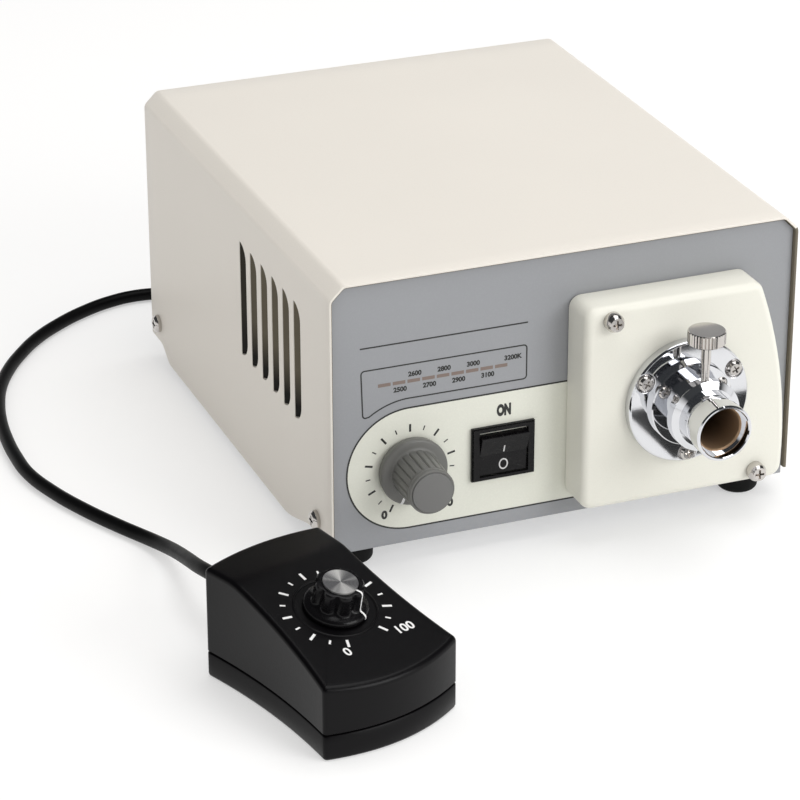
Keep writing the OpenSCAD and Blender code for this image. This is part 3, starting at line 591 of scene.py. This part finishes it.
def letters(name, text, height, at, centre, material, bold, squeeze=1.0):
    data = bpy.data.curves.new(name, "FONT")
    data.body = text
    data.align_x = "CENTER"
    data.align_y = "CENTER"
    data.size = height / 0.7  # a capital is 0.7 of the type size
    data.offset = bold
    data.resolution_u = 4
    holder = placed(name + "Text", data)
    flat = finishedMesh(holder)
    bpy.data.objects.remove(holder)
    shape = bmesh.new()
    shape.from_mesh(flat)
    top = bmesh.ops.extrude_face_region(shape, geom=shape.faces[:])["geom"]
    for v in [g for g in top if isinstance(g, bmesh.types.BMVert)]:
        v.co.z = inkThick
    points = [at(centre[0] + v.co.x * squeeze, centre[1] + v.co.y, v.co.z) for v in shape.verts]
    shape.verts.index_update()
    faces = [tuple(v.index for v in f.verts) for f in shape.faces]
    shape.free()
    bpy.data.meshes.remove(flat)
    addPiece(name, (points, faces), "case", material)


# the cord
print("cord")
cordSizes = {"diameter": 0.0052, "coilIn": 0.0255, "coilPitch": 0.0053, "coilFall": 0.5, "coilTurn": 2,
             "coilSteps": 46, "length": 1.15}
cordRun = [(0.013, 0.1865, 0.0026), (-0.001, 0.195, 0.0026), (-0.015, 0.2032, 0.0026),
           (-0.028, 0.2098, 0.0026), (-0.04, 0.214, 0.0026), (-0.052, 0.2159, 0.0026),
           (-0.064, 0.2138, 0.0026), (-0.078, 0.2076, 0.0026), (-0.091, 0.199, 0.0026),
           (-0.103, 0.1886, 0.0026), (-0.1135, 0.176, 0.0026), (-0.1225, 0.1625, 0.0026),
           (-0.1298, 0.1475, 0.0026), (-0.1348, 0.132, 0.0026), (-0.1382, 0.116, 0.0026),
           (-0.1402, 0.1, 0.0026), (-0.141, 0.084, 0.0026), (-0.1404, 0.0683, 0.0026),
           (-0.1362, 0.0506, 0.0026), (-0.1293, 0.0319, 0.0026), (-0.1209, 0.014, 0.0026),
           (-0.1138, -0.0012, 0.0032), (-0.111, -0.014, 0.0056), (-0.1106, -0.0265, 0.0091),
           (-0.111, -0.0385, 0.0127), (-0.1111, -0.05, 0.0158), (-0.1101, -0.0595, 0.0178),
           (-0.1081, -0.0674, 0.0183)]
bootLow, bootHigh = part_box("plug_boot")


def coilPoint(turn):  # down from the plug, inward on the upper layer, outward on the floor
    s = cordSizes
    falling = turn < s["coilFall"]
    outer = s["coilTurn"] - s["coilFall"]
    radius = s["coilIn"] + s["coilPitch"] * (outer if falling else abs(turn - s["coilTurn"]))
    plugX, plugZ = (bootLow.x + bootHigh.x) / 2, (bootLow.z + bootHigh.z) / 2
    upper = 1.5 * s["diameter"]
    if turn <= s["coilTurn"] - 0.01:
        z = plugZ + (upper - plugZ) * ease(turn / s["coilFall"])
    else:
        z = s["diameter"] if turn < s["coilTurn"] + 0.01 else s["diameter"] / 2
    middle = plugX + s["coilIn"] + s["coilPitch"] * outer
    return (middle - radius * cos(2 * pi * turn), bootHigh.y + radius * sin(2 * pi * turn), z)


cordPath = [coilPoint(i / 12) for i in range(cordSizes["coilSteps"] + 1)] + cordRun
cordCurve = bpy.data.curves.new("cordLine", "CURVE")
cordCurve.dimensions = "3D"
cordCurve.bevel_depth = cordSizes["diameter"] / 2
cordCurve.bevel_resolution = 5
cordCurve.resolution_u = 6
cordCurve.use_fill_caps = True
cordLine = cordCurve.splines.new("BEZIER")
cordLine.bezier_points.add(len(cordPath) - 1)
for spot, point in zip(cordLine.bezier_points, cordPath):
    spot.co = point
    spot.handle_left_type = spot.handle_right_type = "AUTO"
cordCurve.materials.append(finishes["cord_black"])
cordPiece = placed("dimmerCord", cordCurve)
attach(cordPiece, "case")
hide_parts("cord")

# case cover
print("case cover")
cover = {"width": 182, "depth": 212, "height": 105, "skirt": 4.7, "chamfer": 5.3, "bend": 3.2,
         "sheet": 1.2, "rim": 0.35, "shadedRightRim": 5, "frontRise": 3, "riseFrom": 16, "riseTo": 52,
         "rearRise": 0.8, "rearFrom": 188, "rearTo": 200}
louvre = {"count": 6, "pitch": 11.8, "first": 33.5, "middle": 62.7, "length": 46, "width": 7,
          "corner": 6.6, "fold": 50, "tongue": ((0.3, 0.0), (0.05, 0.2), (0.05, 0.9), (0.3, 1.1))}


def lowerEdge(y):  # the sides hang lowest in the middle and rise towards both ends
    c = cover
    front = (c["frontRise"] + c["skirt"]) * (1 - ease((y - c["riseFrom"]) / (c["riseTo"] - c["riseFrom"])))
    rear = (c["rearRise"] + c["skirt"]) * ease((y - c["rearFrom"]) / (c["rearTo"] - c["rearFrom"]))
    return front + rear - c["skirt"]


def coverSection(inset, low):
    w, h, c = cover["width"], cover["height"], cover["chamfer"]
    corners = [(w, low), (w, h - c), (w - c, h), (c, h), (0, h - c), (0, low)]
    outer = roundCorners(corners, cover["bend"], 5, closed=False)
    inner = insetLoop(outer, cover["sheet"], closed=False)
    if inset:
        outer = insetLoop(outer, inset, closed=False)
        inner = insetLoop(inner, -inset, closed=False)
    return outer, inner


def coverRing(inset, y):
    outer, inner = coverSection(inset, lowerEdge(y))
    return [caseAt(x, y, z) for x, z in outer] + [caseAt(x, y, z) for x, z in reversed(inner)]


def rimStrip(count, start):  # closes the sheet's front or back edge
    return [(start + i, start + i + 1, start + count - 2 - i, start + count - 1 - i)
            for i in range(count // 2 - 1)]


rim, depth = cover["rim"], cover["depth"]
arris = rim * 0.3  # halfway round the rim's edge
stations = ([rim, cover["riseFrom"] / 2] + [cover["riseFrom"] + 3 * i for i in range(13)]
            + [cover["rearFrom"] + 2 * i for i in range(7)] + [depth - rim])
coverRings = ([coverRing(rim, 0), coverRing(arris, arris)] + [coverRing(0, y) for y in stations]
              + [coverRing(arris, depth - arris), coverRing(rim, depth)])
coverPoints, coverFaces = loft(coverRings)
ringCount = len(coverRings[0])
# faces that take the painted shade: the inside of the sheet, then the right wall's front rim
paintedShadeFaces = [i for i in range(len(coverFaces)) if ringCount / 2 <= i % ringCount < ringCount - 1]
frontEdge = len(coverFaces)
coverFaces += rimStrip(ringCount, 0) + rimStrip(ringCount, (len(coverRings) - 1) * ringCount)
paintedShadeFaces += [i for i in range(2 * ringCount) if i % ringCount < cover["shadedRightRim"]]
paintedShadeFaces += [frontEdge + i for i in range(cover["shadedRightRim"])]  # the right wall's front rim takes the painted shade as well
coverPiece = addPiece("coverShell", (coverPoints, coverFaces), "case", slot="cover_paint",
                      stands=("case_cover",), lining=coverShadeLining, lined=paintedShadeFaces)


def mouthOutline(shrink=0.0):  # (depth from the mouth's front, height), rounded in front
    w, l = louvre["width"], louvre["length"]
    outline = roundCorners([(w, 0), (w, l), (0, l), (0, 0)],
                           [0, 0, louvre["corner"], louvre["corner"]], 8)
    return insetLoop(outline, shrink) if shrink else outline


def sideX(far, x):  # a distance from the left wall, or mirrored from the right one
    return cover["width"] - x if far else x


louvreLow = louvre["middle"] - louvre["length"] / 2
# whether on the right side, and the front of the mouth
louvrePlaces = [(far, louvre["first"] + i * louvre["pitch"] - louvre["width"] / 2)
                for far in (False, True) for i in range(louvre["count"])]
cutters = []
for far, start in louvrePlaces:
    cutters.append(loft([[caseAt(sideX(far, x), start + y, louvreLow + z) for y, z in mouthOutline()]
                         for x in (-1, cover["sheet"] + 1)], True, True))
cutter = addPiece("louvreCutter", joined(*cutters), "case", finishes["cover_paint"])
carve = coverPiece.modifiers.new("louvres", "BOOLEAN")
carve.object = cutter
carve.solver = "EXACT"
carved = finishedMesh(coverPiece)
coverPiece.modifiers.clear()
coverPiece.data = carved
carved.shade_smooth()
carved.set_sharp_from_angle(angle=radians(sharpAngle))
bpy.data.objects.remove(cutter)

fold = radians(louvre["fold"])
tongues = []
for far, start in louvrePlaces:
    rings = []
    for inset, thick in louvre["tongue"]:
        ring = []
        for y, z in mouthOutline(inset):
            back = louvre["width"] - y
            inward = back * sin(fold) + thick * cos(fold)
            rearward = start + louvre["width"] - back * cos(fold) + thick * sin(fold)
            ring.append(caseAt(sideX(far, inward), rearward, louvreLow + z))
        rings.append(ring)
    tongues.append(loft(rings, True, True))
addPiece("louvreTongues", joined(*tongues), "case", flapShade, "cover_paint")

# print on the front panel
print("panel print")
band = {"left": 30.5, "end": 172, "low": 5.7, "high": 53.4, "line": 0.62, "steps": 40, "thick": 0.05}
bandMiddle = (band["low"] + band["high"]) / 2
bandRound = (band["high"] - band["low"]) / 2
bandAngles = [radians(90 + 180 * i / band["steps"]) for i in range(band["steps"] + 1)]
bandArc = [(band["left"] + bandRound * cos(a), bandMiddle + bandRound * sin(a)) for a in bandAngles]
bandPath = [(band["end"], band["high"])] + bandArc + [(band["end"], band["low"])]


def onBand(x, z, lift):  # on top of the cream print
    return onPanel(x, z, lift + band["thick"])


addPiece("creamBand", plate(bandPath, onPanel, 0.0, band["thick"]), "case", creamInk)

# colour scale: a frame whose lower left follows the band, bars and numbers
scale = {"left": 12.3, "right": 75.7, "low": 57.1, "high": 70.4, "tail": 51.9, "line": 0.52,
         "bars": 9, "barFrom": 18.7, "barTo": 68.2, "barZ": 63.8, "barHigh": 1.3, "gap": 0.8,
         "dip": 27.7, "dipX": 31, "dipZ": 29.5, "dipFrom": 29.3, "dipTo": 15.2, "dipSteps": 8,
         "figure": 1.75, "over": 2.6, "under": -2.7, "last": 4.1, "bold": 0.12, "tailIn": 0.6,
         "corners": [1.3, 1.3, 1.3, 1.1], "thick": 0.04}
dipStart = atan2(scale["low"] - scale["dipZ"], scale["dipFrom"] - scale["dipX"])
dipEnd = atan2(scale["tail"] - scale["dipZ"] + scale["tailIn"], scale["dipTo"] - scale["dipX"])
dipAngles = [dipStart + (dipEnd - dipStart) * i / scale["dipSteps"] for i in range(scale["dipSteps"] + 1)]
dipArc = [(scale["dipX"] + scale["dip"] * cos(a), scale["dipZ"] + scale["dip"] * sin(a)) for a in dipAngles]
frameCorners = [(scale["right"], scale["low"]), (scale["right"], scale["high"]),
                (scale["left"], scale["high"]), (scale["left"] + scale["tailIn"], scale["tail"])]
frameLine = roundCorners(frameCorners + dipArc[::-1], scale["corners"] + [0] * len(dipArc), 5)
headLine = {"path": [(12, 79.1), (76, 79.1)], "line": 0.55}
addPiece("panelLines", joined(ribbon(bandPath, band["line"], onBand),
                              ribbon(frameLine, scale["line"], onPanel, True),
                              ribbon(headLine["path"], headLine["line"], onPanel)), "case", darkInk)

barStep = (scale["barTo"] - scale["barFrom"] + scale["gap"]) / scale["bars"]
barLow, barTop = scale["barZ"] - scale["barHigh"] / 2, scale["barZ"] + scale["barHigh"] / 2
bars = []
for i in range(scale["bars"]):
    x = scale["barFrom"] + i * barStep
    end = x + barStep - scale["gap"]
    outline = [(x, barLow), (end, barLow), (end, barTop), (x, barTop)]
    bars.append(plate(outline, onPanel, 0.0, scale["thick"]))
addPiece("scaleBars", joined(*bars), "case", brownInk)


def scaleNumber(row, number, bar, height):
    at = (scale["barFrom"] + bar * barStep, scale["barZ"] + height)
    letters("scale" + row + number, number, scale["figure"], onPanel, at, darkInk, scale["bold"])


for i, number in enumerate(("2600", "2800", "3000")):
    scaleNumber("Over", number, 2 * i + 2.5, scale["over"])
scaleNumber("Over", "3200K", 8.5 + scale["last"] / barStep, scale["over"])
for i, number in enumerate(("2500", "2700", "2900", "3100")):
    scaleNumber("Under", number, 2 * i + 1.5, scale["under"])
word = {"text": "ON", "figure": 4.0, "at": (67.1, 46), "bold": 0.42, "squeeze": 0.6}
letters("switchWord", word["text"], word["figure"], onBand, word["at"], darkInk, word["bold"],
        word["squeeze"])

ticks = {"right": -0.15, "up": -0.35, "radius": 16.25, "first": 243.6, "step": 19.2, "count": 17,
         "long": 3.0, "short": 1.8, "wide": 0.8, "narrow": 0.45, "figure": 3.0, "bold": 0.24,
         "zeroAt": (20.9, 12.3), "hundredAt": (44.2, 12.8)}


def tickMarks(marks, at, centre=(0.0, 0.0)):
    shapes = []
    for i in range(marks["count"]):
        major = i % 2 == 0
        angle = radians(marks["first"] - i * marks["step"])
        half = (marks["long"] if major else marks["short"]) / 2
        ends = [(centre[0] + r * cos(angle), centre[1] + r * sin(angle))
                for r in (marks["radius"] - half, marks["radius"] + half)]
        shapes.append(ribbon(ends, marks["wide"] if major else marks["narrow"], at))
    return joined(*shapes)


def endNumbers(name, marks, at, material):
    letters(name + "Zero", "0", marks["figure"], at, marks["zeroAt"], material, marks["bold"])
    letters(name + "Hundred", "100", marks["figure"], at, marks["hundredAt"], material, marks["bold"])


dialCentre = ((dialX - caseLeft) / mm + ticks["right"], (dialZ - caseFloor) / mm + ticks["up"])
addPiece("dialTicks", tickMarks(ticks, onBand, dialCentre), "case", darkInk)
endNumbers("dial", ticks, onBand, darkInk)

# dial knob
print("knobs")


def fluted(profile, cuts, ribs, share, at, segments=10, start=0.0):
    # profile of (radius, height); cuts gives the grooves' depth at each height, share their width
    rings = []
    for (radius, height), cut in zip(profile, cuts):
        ring = []
        for i in range(ribs * segments):
            phase = (i / segments) % 1
            near = min(phase, 1 - phase) * 2
            r = radius - cut * ease(1 - near / share)
            a = start + 2 * pi * i / (ribs * segments)
            ring.append(at(r * cos(a), r * sin(a), height))
        rings.append(ring)
    return loft(rings, True, True)


def aimed(angle, along, across):
    return along * cos(angle) - across * sin(angle), along * sin(angle) + across * cos(angle)


knob = {"ribs": 20, "share": 0.4, "pointer": 246, "mark": (10.1, 12.85), "markHalf": 0.5,
        "skirt": 2.62, "skirtEnd": 12}
knobProfile = [(12.3, -1.1), (12.6, -0.8), (12.88, 1.3), (12.82, 1.9), (12.5, 2.4), (12.0, 2.6),
               (10.2, 2.6), (9.4, 2.75), (9.1, 3.05), (9.05, 3.7), (8.9, 9), (8.65, 15.6), (8.55, 16.3),
               (8.4, 16.6), (8.3, 16.8), (8.5, 17.1), (8.6, 17.6), (8.6, 18.6), (8.35, 19.05),
               (7.9, 19.2), (7.75, 19.2), (7.7, 18.8)]
knobCuts = [0] * 9 + [0.6, 0.6, 0.55, 0.3] + [0] * 9
addPiece("dialKnob", fluted(knobProfile, knobCuts, knob["ribs"], knob["share"], dialAt), "dial",
         slot="knob_gray", stands=("dial_knob",), smoothAngle=38)
capProfile = [(0.02, 18.8), (7.62, 18.8), (7.62, 19.45), (7.5, 19.7), (7.1, 19.8), (0.02, 19.85)]
addPiece("dialCap", spin(capProfile, dialAt), "dial", slot="cap_gray", stands=("dial_cap",))


def skirtAt(along, across, lift):  # a point of the pointer, on the knob's skirt
    skirtLift = knob["skirt"] - max(0, along - knob["skirtEnd"]) * 0.5
    return dialAt(*aimed(radians(knob["pointer"]), along, across), skirtLift + lift)


near, far = knob["mark"]
bend, half = knob["skirtEnd"], knob["markHalf"]
pointer = [(near, -half), (bend, -half), (far, -half), (far, half), (bend, half), (near, half)]
addPiece("dialPointer", plate(pointer, skirtAt, -0.2, 0.06), "dial", whiteInk)

# lamp cover
print("lamp cover")
housing = {"left": 91.5, "low": 7.5, "high": 87, "face": 14, "wall": 2, "back": -1.6, "edge": 3,
           "corner": 4.5, "bow": 181, "bowX": -8, "bowZ": 22, "bowSteps": 14, "hole": 9.1,
           "spacing": 6}


def bowAt(z):
    return housing["bowX"] + (housing["bow"] ** 2 - (z - housing["bowZ"]) ** 2) ** 0.5


def housingOutline():
    low, high, left = housing["low"], housing["high"], housing["left"]
    steps, corner = housing["bowSteps"], housing["corner"]
    heights = [low + (high - low) * i / steps for i in range(steps + 1)]
    corners = [(left, high), (left, low)] + [(bowAt(z), z) for z in heights]
    outline = roundCorners(corners, [corner] * 3 + [0] * (steps - 1) + [corner], 7)
    dense = []
    for i, (x, y) in enumerate(outline):  # extra points along the long straight sides
        nx, ny = outline[(i + 1) % len(outline)]
        dense.append((x, y))
        pieces = int(hypot(nx - x, ny - y) // housing["spacing"])
        for k in range(1, pieces + 1):
            dense.append((x + (nx - x) * k / (pieces + 1), y + (ny - y) * k / (pieces + 1)))
    return dense


housingLoop = housingOutline()


def housingRing(inset, forward):
    return [caseAt(x, -forward, z) for x, z in insetLoop(housingLoop, inset)]


def portRing(radius, forward):  # a round ring with a point for each point of the outline
    cx, cz = (portX - caseLeft) / mm, (portZ - caseFloor) / mm
    ring = []
    for x, z in housingLoop:
        away = hypot(x - cx, z - cz)
        ring.append(caseAt(cx + (x - cx) / away * radius, -forward, cz + (z - cz) / away * radius))
    return ring


face, edge, wall = housing["face"], housing["edge"], housing["wall"]
outer = [housingRing(0.5, housing["back"]), housingRing(0, housing["back"] + 0.5)]
for a in quarterTurn:
    outer.append(housingRing(edge * (1 - cos(a)), face - edge + edge * sin(a)))
rings = outer + [portRing(housing["hole"], face), portRing(housing["hole"], face - wall),
                 housingRing(edge, face - wall), housingRing(wall, face - edge - 0.4),
                 housingRing(wall, housing["back"])]
addPiece("lampHousing", loft(rings + [rings[0]]), "lamp_door", slot="housing_paint",
         stands=("lamp_cover",))

# switch marks
print("switch")
rocker = {"tilt": 9, "pivot": 4, "face": 3.6, "rise": 1.2, "half": 7.6, "line": 0.5, "thick": 0.05,
          "ringWide": 1.55, "ringHigh": 1.9, "ringAt": -4.3, "bar": [(0, 0.7), (0, 3.6)]}
rockerTilt = radians(rocker["tilt"])
bezelX = (bezelLow.x + bezelHigh.x) / 2
bezelZ = (bezelLow.z + bezelHigh.z) / 2


def rockerFace(x, y, lift):  # on the rocker's face, which rises from its middle to both ends
    z = rocker["face"] + abs(y) * rocker["rise"] / rocker["half"] + lift
    up = y * cos(rockerTilt) - z * sin(rockerTilt)
    forward = y * sin(rockerTilt) + z * cos(rockerTilt) - rocker["pivot"]
    return Vector((bezelX + x * mm, caseFront - forward * mm, bezelZ + up * mm))


line, thick = rocker["line"], rocker["thick"]
offRing = [(rocker["ringWide"] * cos(a), rocker["ringAt"] + rocker["ringHigh"] * sin(a))
           for a in circle(32)]
addPiece("switchOff", ribbon(offRing, line, rockerFace, True, thick), "rocker", switchInk)
addPiece("switchOn", ribbon(rocker["bar"], line, rockerFace, False, thick), "rocker", switchInk)

# dimmer box
print("dimmer box")


def arcThrough(start, end, bulge, count):  # from start to end, bulging to the right of the way
    a, b = Vector(start), Vector(end)
    chord = b - a
    right = Vector((chord.y, -chord.x)).normalized()
    return [tuple(a + chord * (i / count) + right * bulge * (1 - (2 * i / count - 1) ** 2))
            for i in range(count)]


def roundTrim(points, radii):  # rounds each corner, without the points that lie too near to it
    kept = []
    for p, radius in zip(points, radii):
        nearCorner = any(0 < hypot(p[0] - q[0], p[1] - q[1]) < r * 1.1 for q, r in zip(points, radii))
        if radius > 0 or not nearCorner:
            kept.append((p, radius))
    return roundCorners([p for p, r in kept], [r for p, r in kept], 7)


def remoteOutline():
    half, wide, long = remote["back"], remote["front"], remote["length"]
    backLeft, backRight = (-half, 0), (half, 0)
    frontLeft, frontRight = (-wide, -long), (wide, -long)
    steps = remote["sideSteps"]
    sides = [arcThrough(backLeft, frontLeft, -remote["waist"], steps),
             arcThrough(frontLeft, frontRight, remote["frontBulge"], steps),
             arcThrough(frontRight, backRight, -remote["waist"], steps),
             arcThrough(backRight, backLeft, remote["backBulge"], remote["backSteps"])]
    radii = []
    for side in sides:
        radii += [remote["corner"]] + [0] * (len(side) - 1)
    return roundTrim([p for side in sides for p in side], radii)


remoteLoop = remoteOutline()


def topHeight(y):  # flat at the back, sloping in front, with a soft bend between
    flat = remote["high"]
    sloped = remote["high"] - (-y - remote["bend"]) * tan(remoteSlope)
    gap = flat - sloped
    return (flat + sloped) / 2 - (gap * gap + remote["soft"] ** 2) ** 0.5 / 2


def remoteRing(inset, height=None, drop=0.0):
    return [remoteAt(x, y, topHeight(y) - drop if height is None else height)
            for x, y in insetLoop(remoteLoop, inset)]


def shrunkRing(share, inset):  # rings of the top face, drawn in towards the middle line
    ring = []
    for x, y in insetLoop(remoteLoop, inset):
        middleY = -remote["length"] / 2
        px, py = x * share, middleY + (y - middleY) * share
        ring.append(remoteAt(px, py, topHeight(py)))
    return ring


base, edge = remote["base"], remote["edge"]
shellRings = [remoteRing(edge, base + 0.1), remoteRing(0.35, base + 0.1), remoteRing(0, base + 0.4)]
for a in quarterTurn:
    shellRings.append(remoteRing(edge * (1 - cos(a)), None, edge * (1 - sin(a))))
for k in range(1, remote["topRings"]):
    shellRings.append(shrunkRing(1 - k / (remote["topRings"] + 0.5), edge))
dimmerShell = addPiece("dimmerShell", loft(shellRings, False, True), "case", slot="box_black",
                       stands=("box_shell",), smoothAngle=50)
evenShade = dimmerShell.modifiers.new("evenShade", "WEIGHTED_NORMAL")
evenShade.keep_sharp = True
baseProfile = [(4.0, 0.0), (1.2, 0.0), (0.35, 0.3), (0, 1.1), (0, base - 0.75), (0.35, base - 0.45),
               (0.8, base - 0.4), (0.8, base + 0.1)]
addPiece("dimmerBase", loft([remoteRing(inset, height) for inset, height in baseProfile], True), "case",
         slot="box_black", stands=("box_base",), smoothAngle=50)

boxTicks = {"radius": 17.8, "first": 246.2, "step": 19.35, "count": 17, "long": 3.4, "short": 1.9,
            "wide": 0.95, "narrow": 0.7, "figure": 3.6, "bold": 0.12, "zeroAt": (-9.8, -19.6),
            "hundredAt": (14.6, -18.9)}
addPiece("boxTicks", tickMarks(boxTicks, slopeAt), "case", whiteInk)
endNumbers("box", boxTicks, slopeAt, whiteInk)
ringProfile = [(13.5, -0.3), (13.7, 0.16), (13.95, 0.28), (14.3, 0.28), (14.55, 0.16), (14.75, -0.3)]
addPiece("dialRing", spin(ringProfile, slopeAt, 120), "case", slot="box_black")

# dimmer knob
boxKnob = {"ribs": 8, "share": 0.75, "segments": 16, "pointer": -65, "line": 0.35}
boxKnobProfile = [(10.9, 0.5), (11.2, 0.8), (11.2, 1.6), (10.95, 2.1), (10.2, 2.7), (9.1, 3.1),
                  (8.75, 3.5), (8.7, 4.2), (8.5, 9.6), (8.35, 10.3), (7.9, 10.8), (7.3, 10.9),
                  (6.4, 10.9), (6.1, 10.85), (6.05, 10.4)]
boxKnobCuts = [0, 0, 0, 0, 0, 0, 0.6, 1.3, 1.25, 1.1, 0.6, 0.15, 0, 0, 0]
ribStart = radians(boxKnob["pointer"] + 180 / boxKnob["ribs"])  # the pointer runs down a rib
addPiece("boxKnob", fluted(boxKnobProfile, boxKnobCuts, boxKnob["ribs"], boxKnob["share"], slopeAt,
                           boxKnob["segments"], ribStart), "box_dial",
         slot="switch_black", stands=("box_knob",), smoothAngle=38)


def sideLine(radius, across, height):
    return slopeAt(*aimed(radians(boxKnob["pointer"]), radius, across), height)


lineProfile = [(6.1, 10.96), (7.35, 10.98), (7.95, 10.88), (8.42, 10.35), (8.58, 9.6), (8.78, 4.2),
               (8.85, 3.6), (9.15, 3.2), (10.25, 2.8), (11.02, 2.15), (11.28, 1.65), (11.28, 0.9)]
half = boxKnob["line"]
lineRings = [[sideLine(r, -half, h), sideLine(r, half, h),
              sideLine(r - 0.3, half, h - 0.2), sideLine(r - 0.3, -half, h - 0.2)] for r, h in lineProfile]
addPiece("boxKnobPointer", loft(lineRings, True, True), "box_dial", whiteInk)

# rear fan guard: rings of wire on four spokes, each with a lug
print("fan guard")
guardLow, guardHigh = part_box("fan_guard")
guardX, guardZ = (guardLow.x + guardHigh.x) / 2, (guardLow.z + guardHigh.z) / 2
guard = {"wire": 0.64, "rings": (9, 15, 21, 27, 33, 38), "ringLift": 0.75, "bar": (6, 46.5),
         "barLift": 0.66, "lug": 50.5}
lugProfile = [(2.15, 0.0), (4.3, 0.0), (4.3, 1.3), (2.15, 1.3), (2.15, 0.0)]


def guardAt(x, y, z):  # z out of the rear wall
    return Vector((guardX + x * mm, guardLow.y + z * mm, guardZ + y * mm))


def wireSection(x, y, outX, outY, lift):  # eight points round a wire
    wire = guard["wire"]
    return [guardAt(x + outX * wire * cos(b), y + outY * wire * cos(b), lift + wire * sin(b))
            for b in circle(8)]


wires = []
for r in guard["rings"]:
    turns = [wireSection(r * cos(a), r * sin(a), cos(a), sin(a), guard["ringLift"]) for a in circle(72)]
    wires.append(loft(turns + turns[:1]))
for a in (radians(spoke) for spoke in (45, 135, 225, 315)):
    ends = [wireSection(r * cos(a), r * sin(a), -sin(a), cos(a), guard["barLift"]) for r in guard["bar"]]
    wires.append(loft(ends, True, True))
    lugX, lugY = guard["lug"] * cos(a), guard["lug"] * sin(a)
    wires.append(loft([[guardAt(lugX + r * cos(b), lugY + r * sin(b), h) for b in circle(24)]
                       for r, h in lugProfile]))
addPiece("fanGuardWires", joined(*wires), "case", slot="guard_steel", stands=("fan_guard",))

# studio
print("studio")
studio = {"floor": 6.0, "floorGap": 0.0002, "floorGlow": 0.4, "glow": 1.15, "ambient": 0.62,
          "ceiling": 0.06, "bandTop": 0.12, "bandEdge": 5, "aim": (0, 0, 0.05)}
lamps = {"topBox": {"place": (0.35, -0.1, 1.5), "size": (1.3, 1.0), "power": 9.6},
         "frontBox": {"place": (0.9, -1.3, 0.8), "size": (0.9, 0.7), "power": 10.5}}
cards = {"nearCard": {"place": (0.145, -0.15, 0.001), "size": (0.1, 0.045)},
         "farCard": {"place": (0.2, -0.25, 0.001), "size": (0.14, 0.07)}}
square = ((-1, -1), (1, -1), (1, 1), (-1, 1))


def stageSheet(name, corners, material):
    mesh = bpy.data.meshes.new(name)
    mesh.from_pydata([tuple(c) for c in corners], [], [(0, 1, 2, 3)])
    mesh.materials.append(material)
    sheet = placed(name, mesh)
    return sheet


paper = Finish("studioPaper")
paper.put(Base_Color=paper.mix(paper.noise(3, 2), (0.93, 0.93, 0.93, 1), (0.96, 0.96, 0.96, 1)),
          Roughness=0.8, Specular_IOR_Level=0.1)
fromCamera, fromShine, fromGlass = paper.rayKinds()
seen = (fromCamera + fromShine + fromGlass).clip()
paperGlow = paper.node("ShaderNodeEmission", sockets={"Strength": studio["glow"]})
paperMix = paper.node("ShaderNodeMixShader", sockets={0: seen * studio["floorGlow"], 2: paperGlow,
                                                      1: Wire(paper.tree, paper.shader.outputs[0])})
connect(paper.tree, paper.tree.nodes["Material Output"].inputs[0], paperMix)
reach = studio["floor"]
floorPiece = stageSheet("studioFloor", [(x * reach, y * reach, 0) for x, y in square], paper.material)
floorPiece.location.z = -studio["floorGap"]

world = bpy.data.worlds.new("studioSky")
bpy.context.scene.world = world
world.use_nodes = True
world.node_tree.nodes.clear()
sky = NodeBoard(world.node_tree)


def skyLight(colour, strength):
    return sky.node("ShaderNodeBackground", sockets={"Color": colour, "Strength": strength})


def skyMix(share, first, second):
    return sky.node("ShaderNodeMixShader", sockets={0: share, 1: first, 2: second})


fromCamera, fromShine, fromGlass = sky.rayKinds()
direction = sky.node("ShaderNodeTexCoord", out="Generated")
rising = sky.node("ShaderNodeSeparateXYZ", sockets={0: direction}, out=2)
# shiny faces see a pale band under a dark ceiling, so chrome gets its contrast
aloft = ((rising - studio["bandTop"]) * studio["bandEdge"]).clip()
ceiling = skyMix(fromShine * aloft, skyLight((1.0, 0.985, 0.96, 1), studio["ambient"]),
                 skyLight((0.9, 0.95, 1, 1), studio["ceiling"]))
backdrop = skyMix((fromCamera + fromGlass + fromShine * (1 - aloft)).clip(), ceiling,
                  skyLight((1, 1, 1, 1), 1.0))
sky.node("ShaderNodeOutputWorld", sockets={0: backdrop}, out=())

for name, lamp in lamps.items():
    data = bpy.data.lights.new(name, "AREA")
    data.shape = "RECTANGLE"
    data.size, data.size_y = lamp["size"]
    data.energy = lamp["power"]
    softBox = placed(name, data)
    softBox.location = lamp["place"]
    aim = Vector(studio["aim"]) - Vector(lamp["place"])
    softBox.rotation_euler = aim.to_track_quat("-Z", "Y").to_euler()

# black cards on the floor, which stand in reflections only
cardCloth = softRubber("blackCardCloth", tone(8, 8, 10))
upward = Vector((0, 0, 1)).to_track_quat("-Z", "Y").to_matrix()
for name, card in cards.items():
    width, height = card["size"]
    corners = [Vector(card["place"]) + upward @ Vector((x * width / 2, y * height / 2, 0))
               for x, y in square]
    sheet = stageSheet(name, corners, cardCloth)
    sheet.visible_camera = False
    sheet.visible_diffuse = False
    sheet.visible_transmission = False
    sheet.visible_shadow = False

# small edge rounding on carried-over parts
for name, width in {"switch_body": 0.5, "rocker": 0.45, "feet": 0.5, "cover_screws": 0.25,
                    "lamp_cover_screws": 0.3, "flange_screws": 0.15, "collar_screws": 0.12,
                    "port_flange": 0.15}.items():
    soften(nodes[name], width)

bpy.context.view_layer.update()
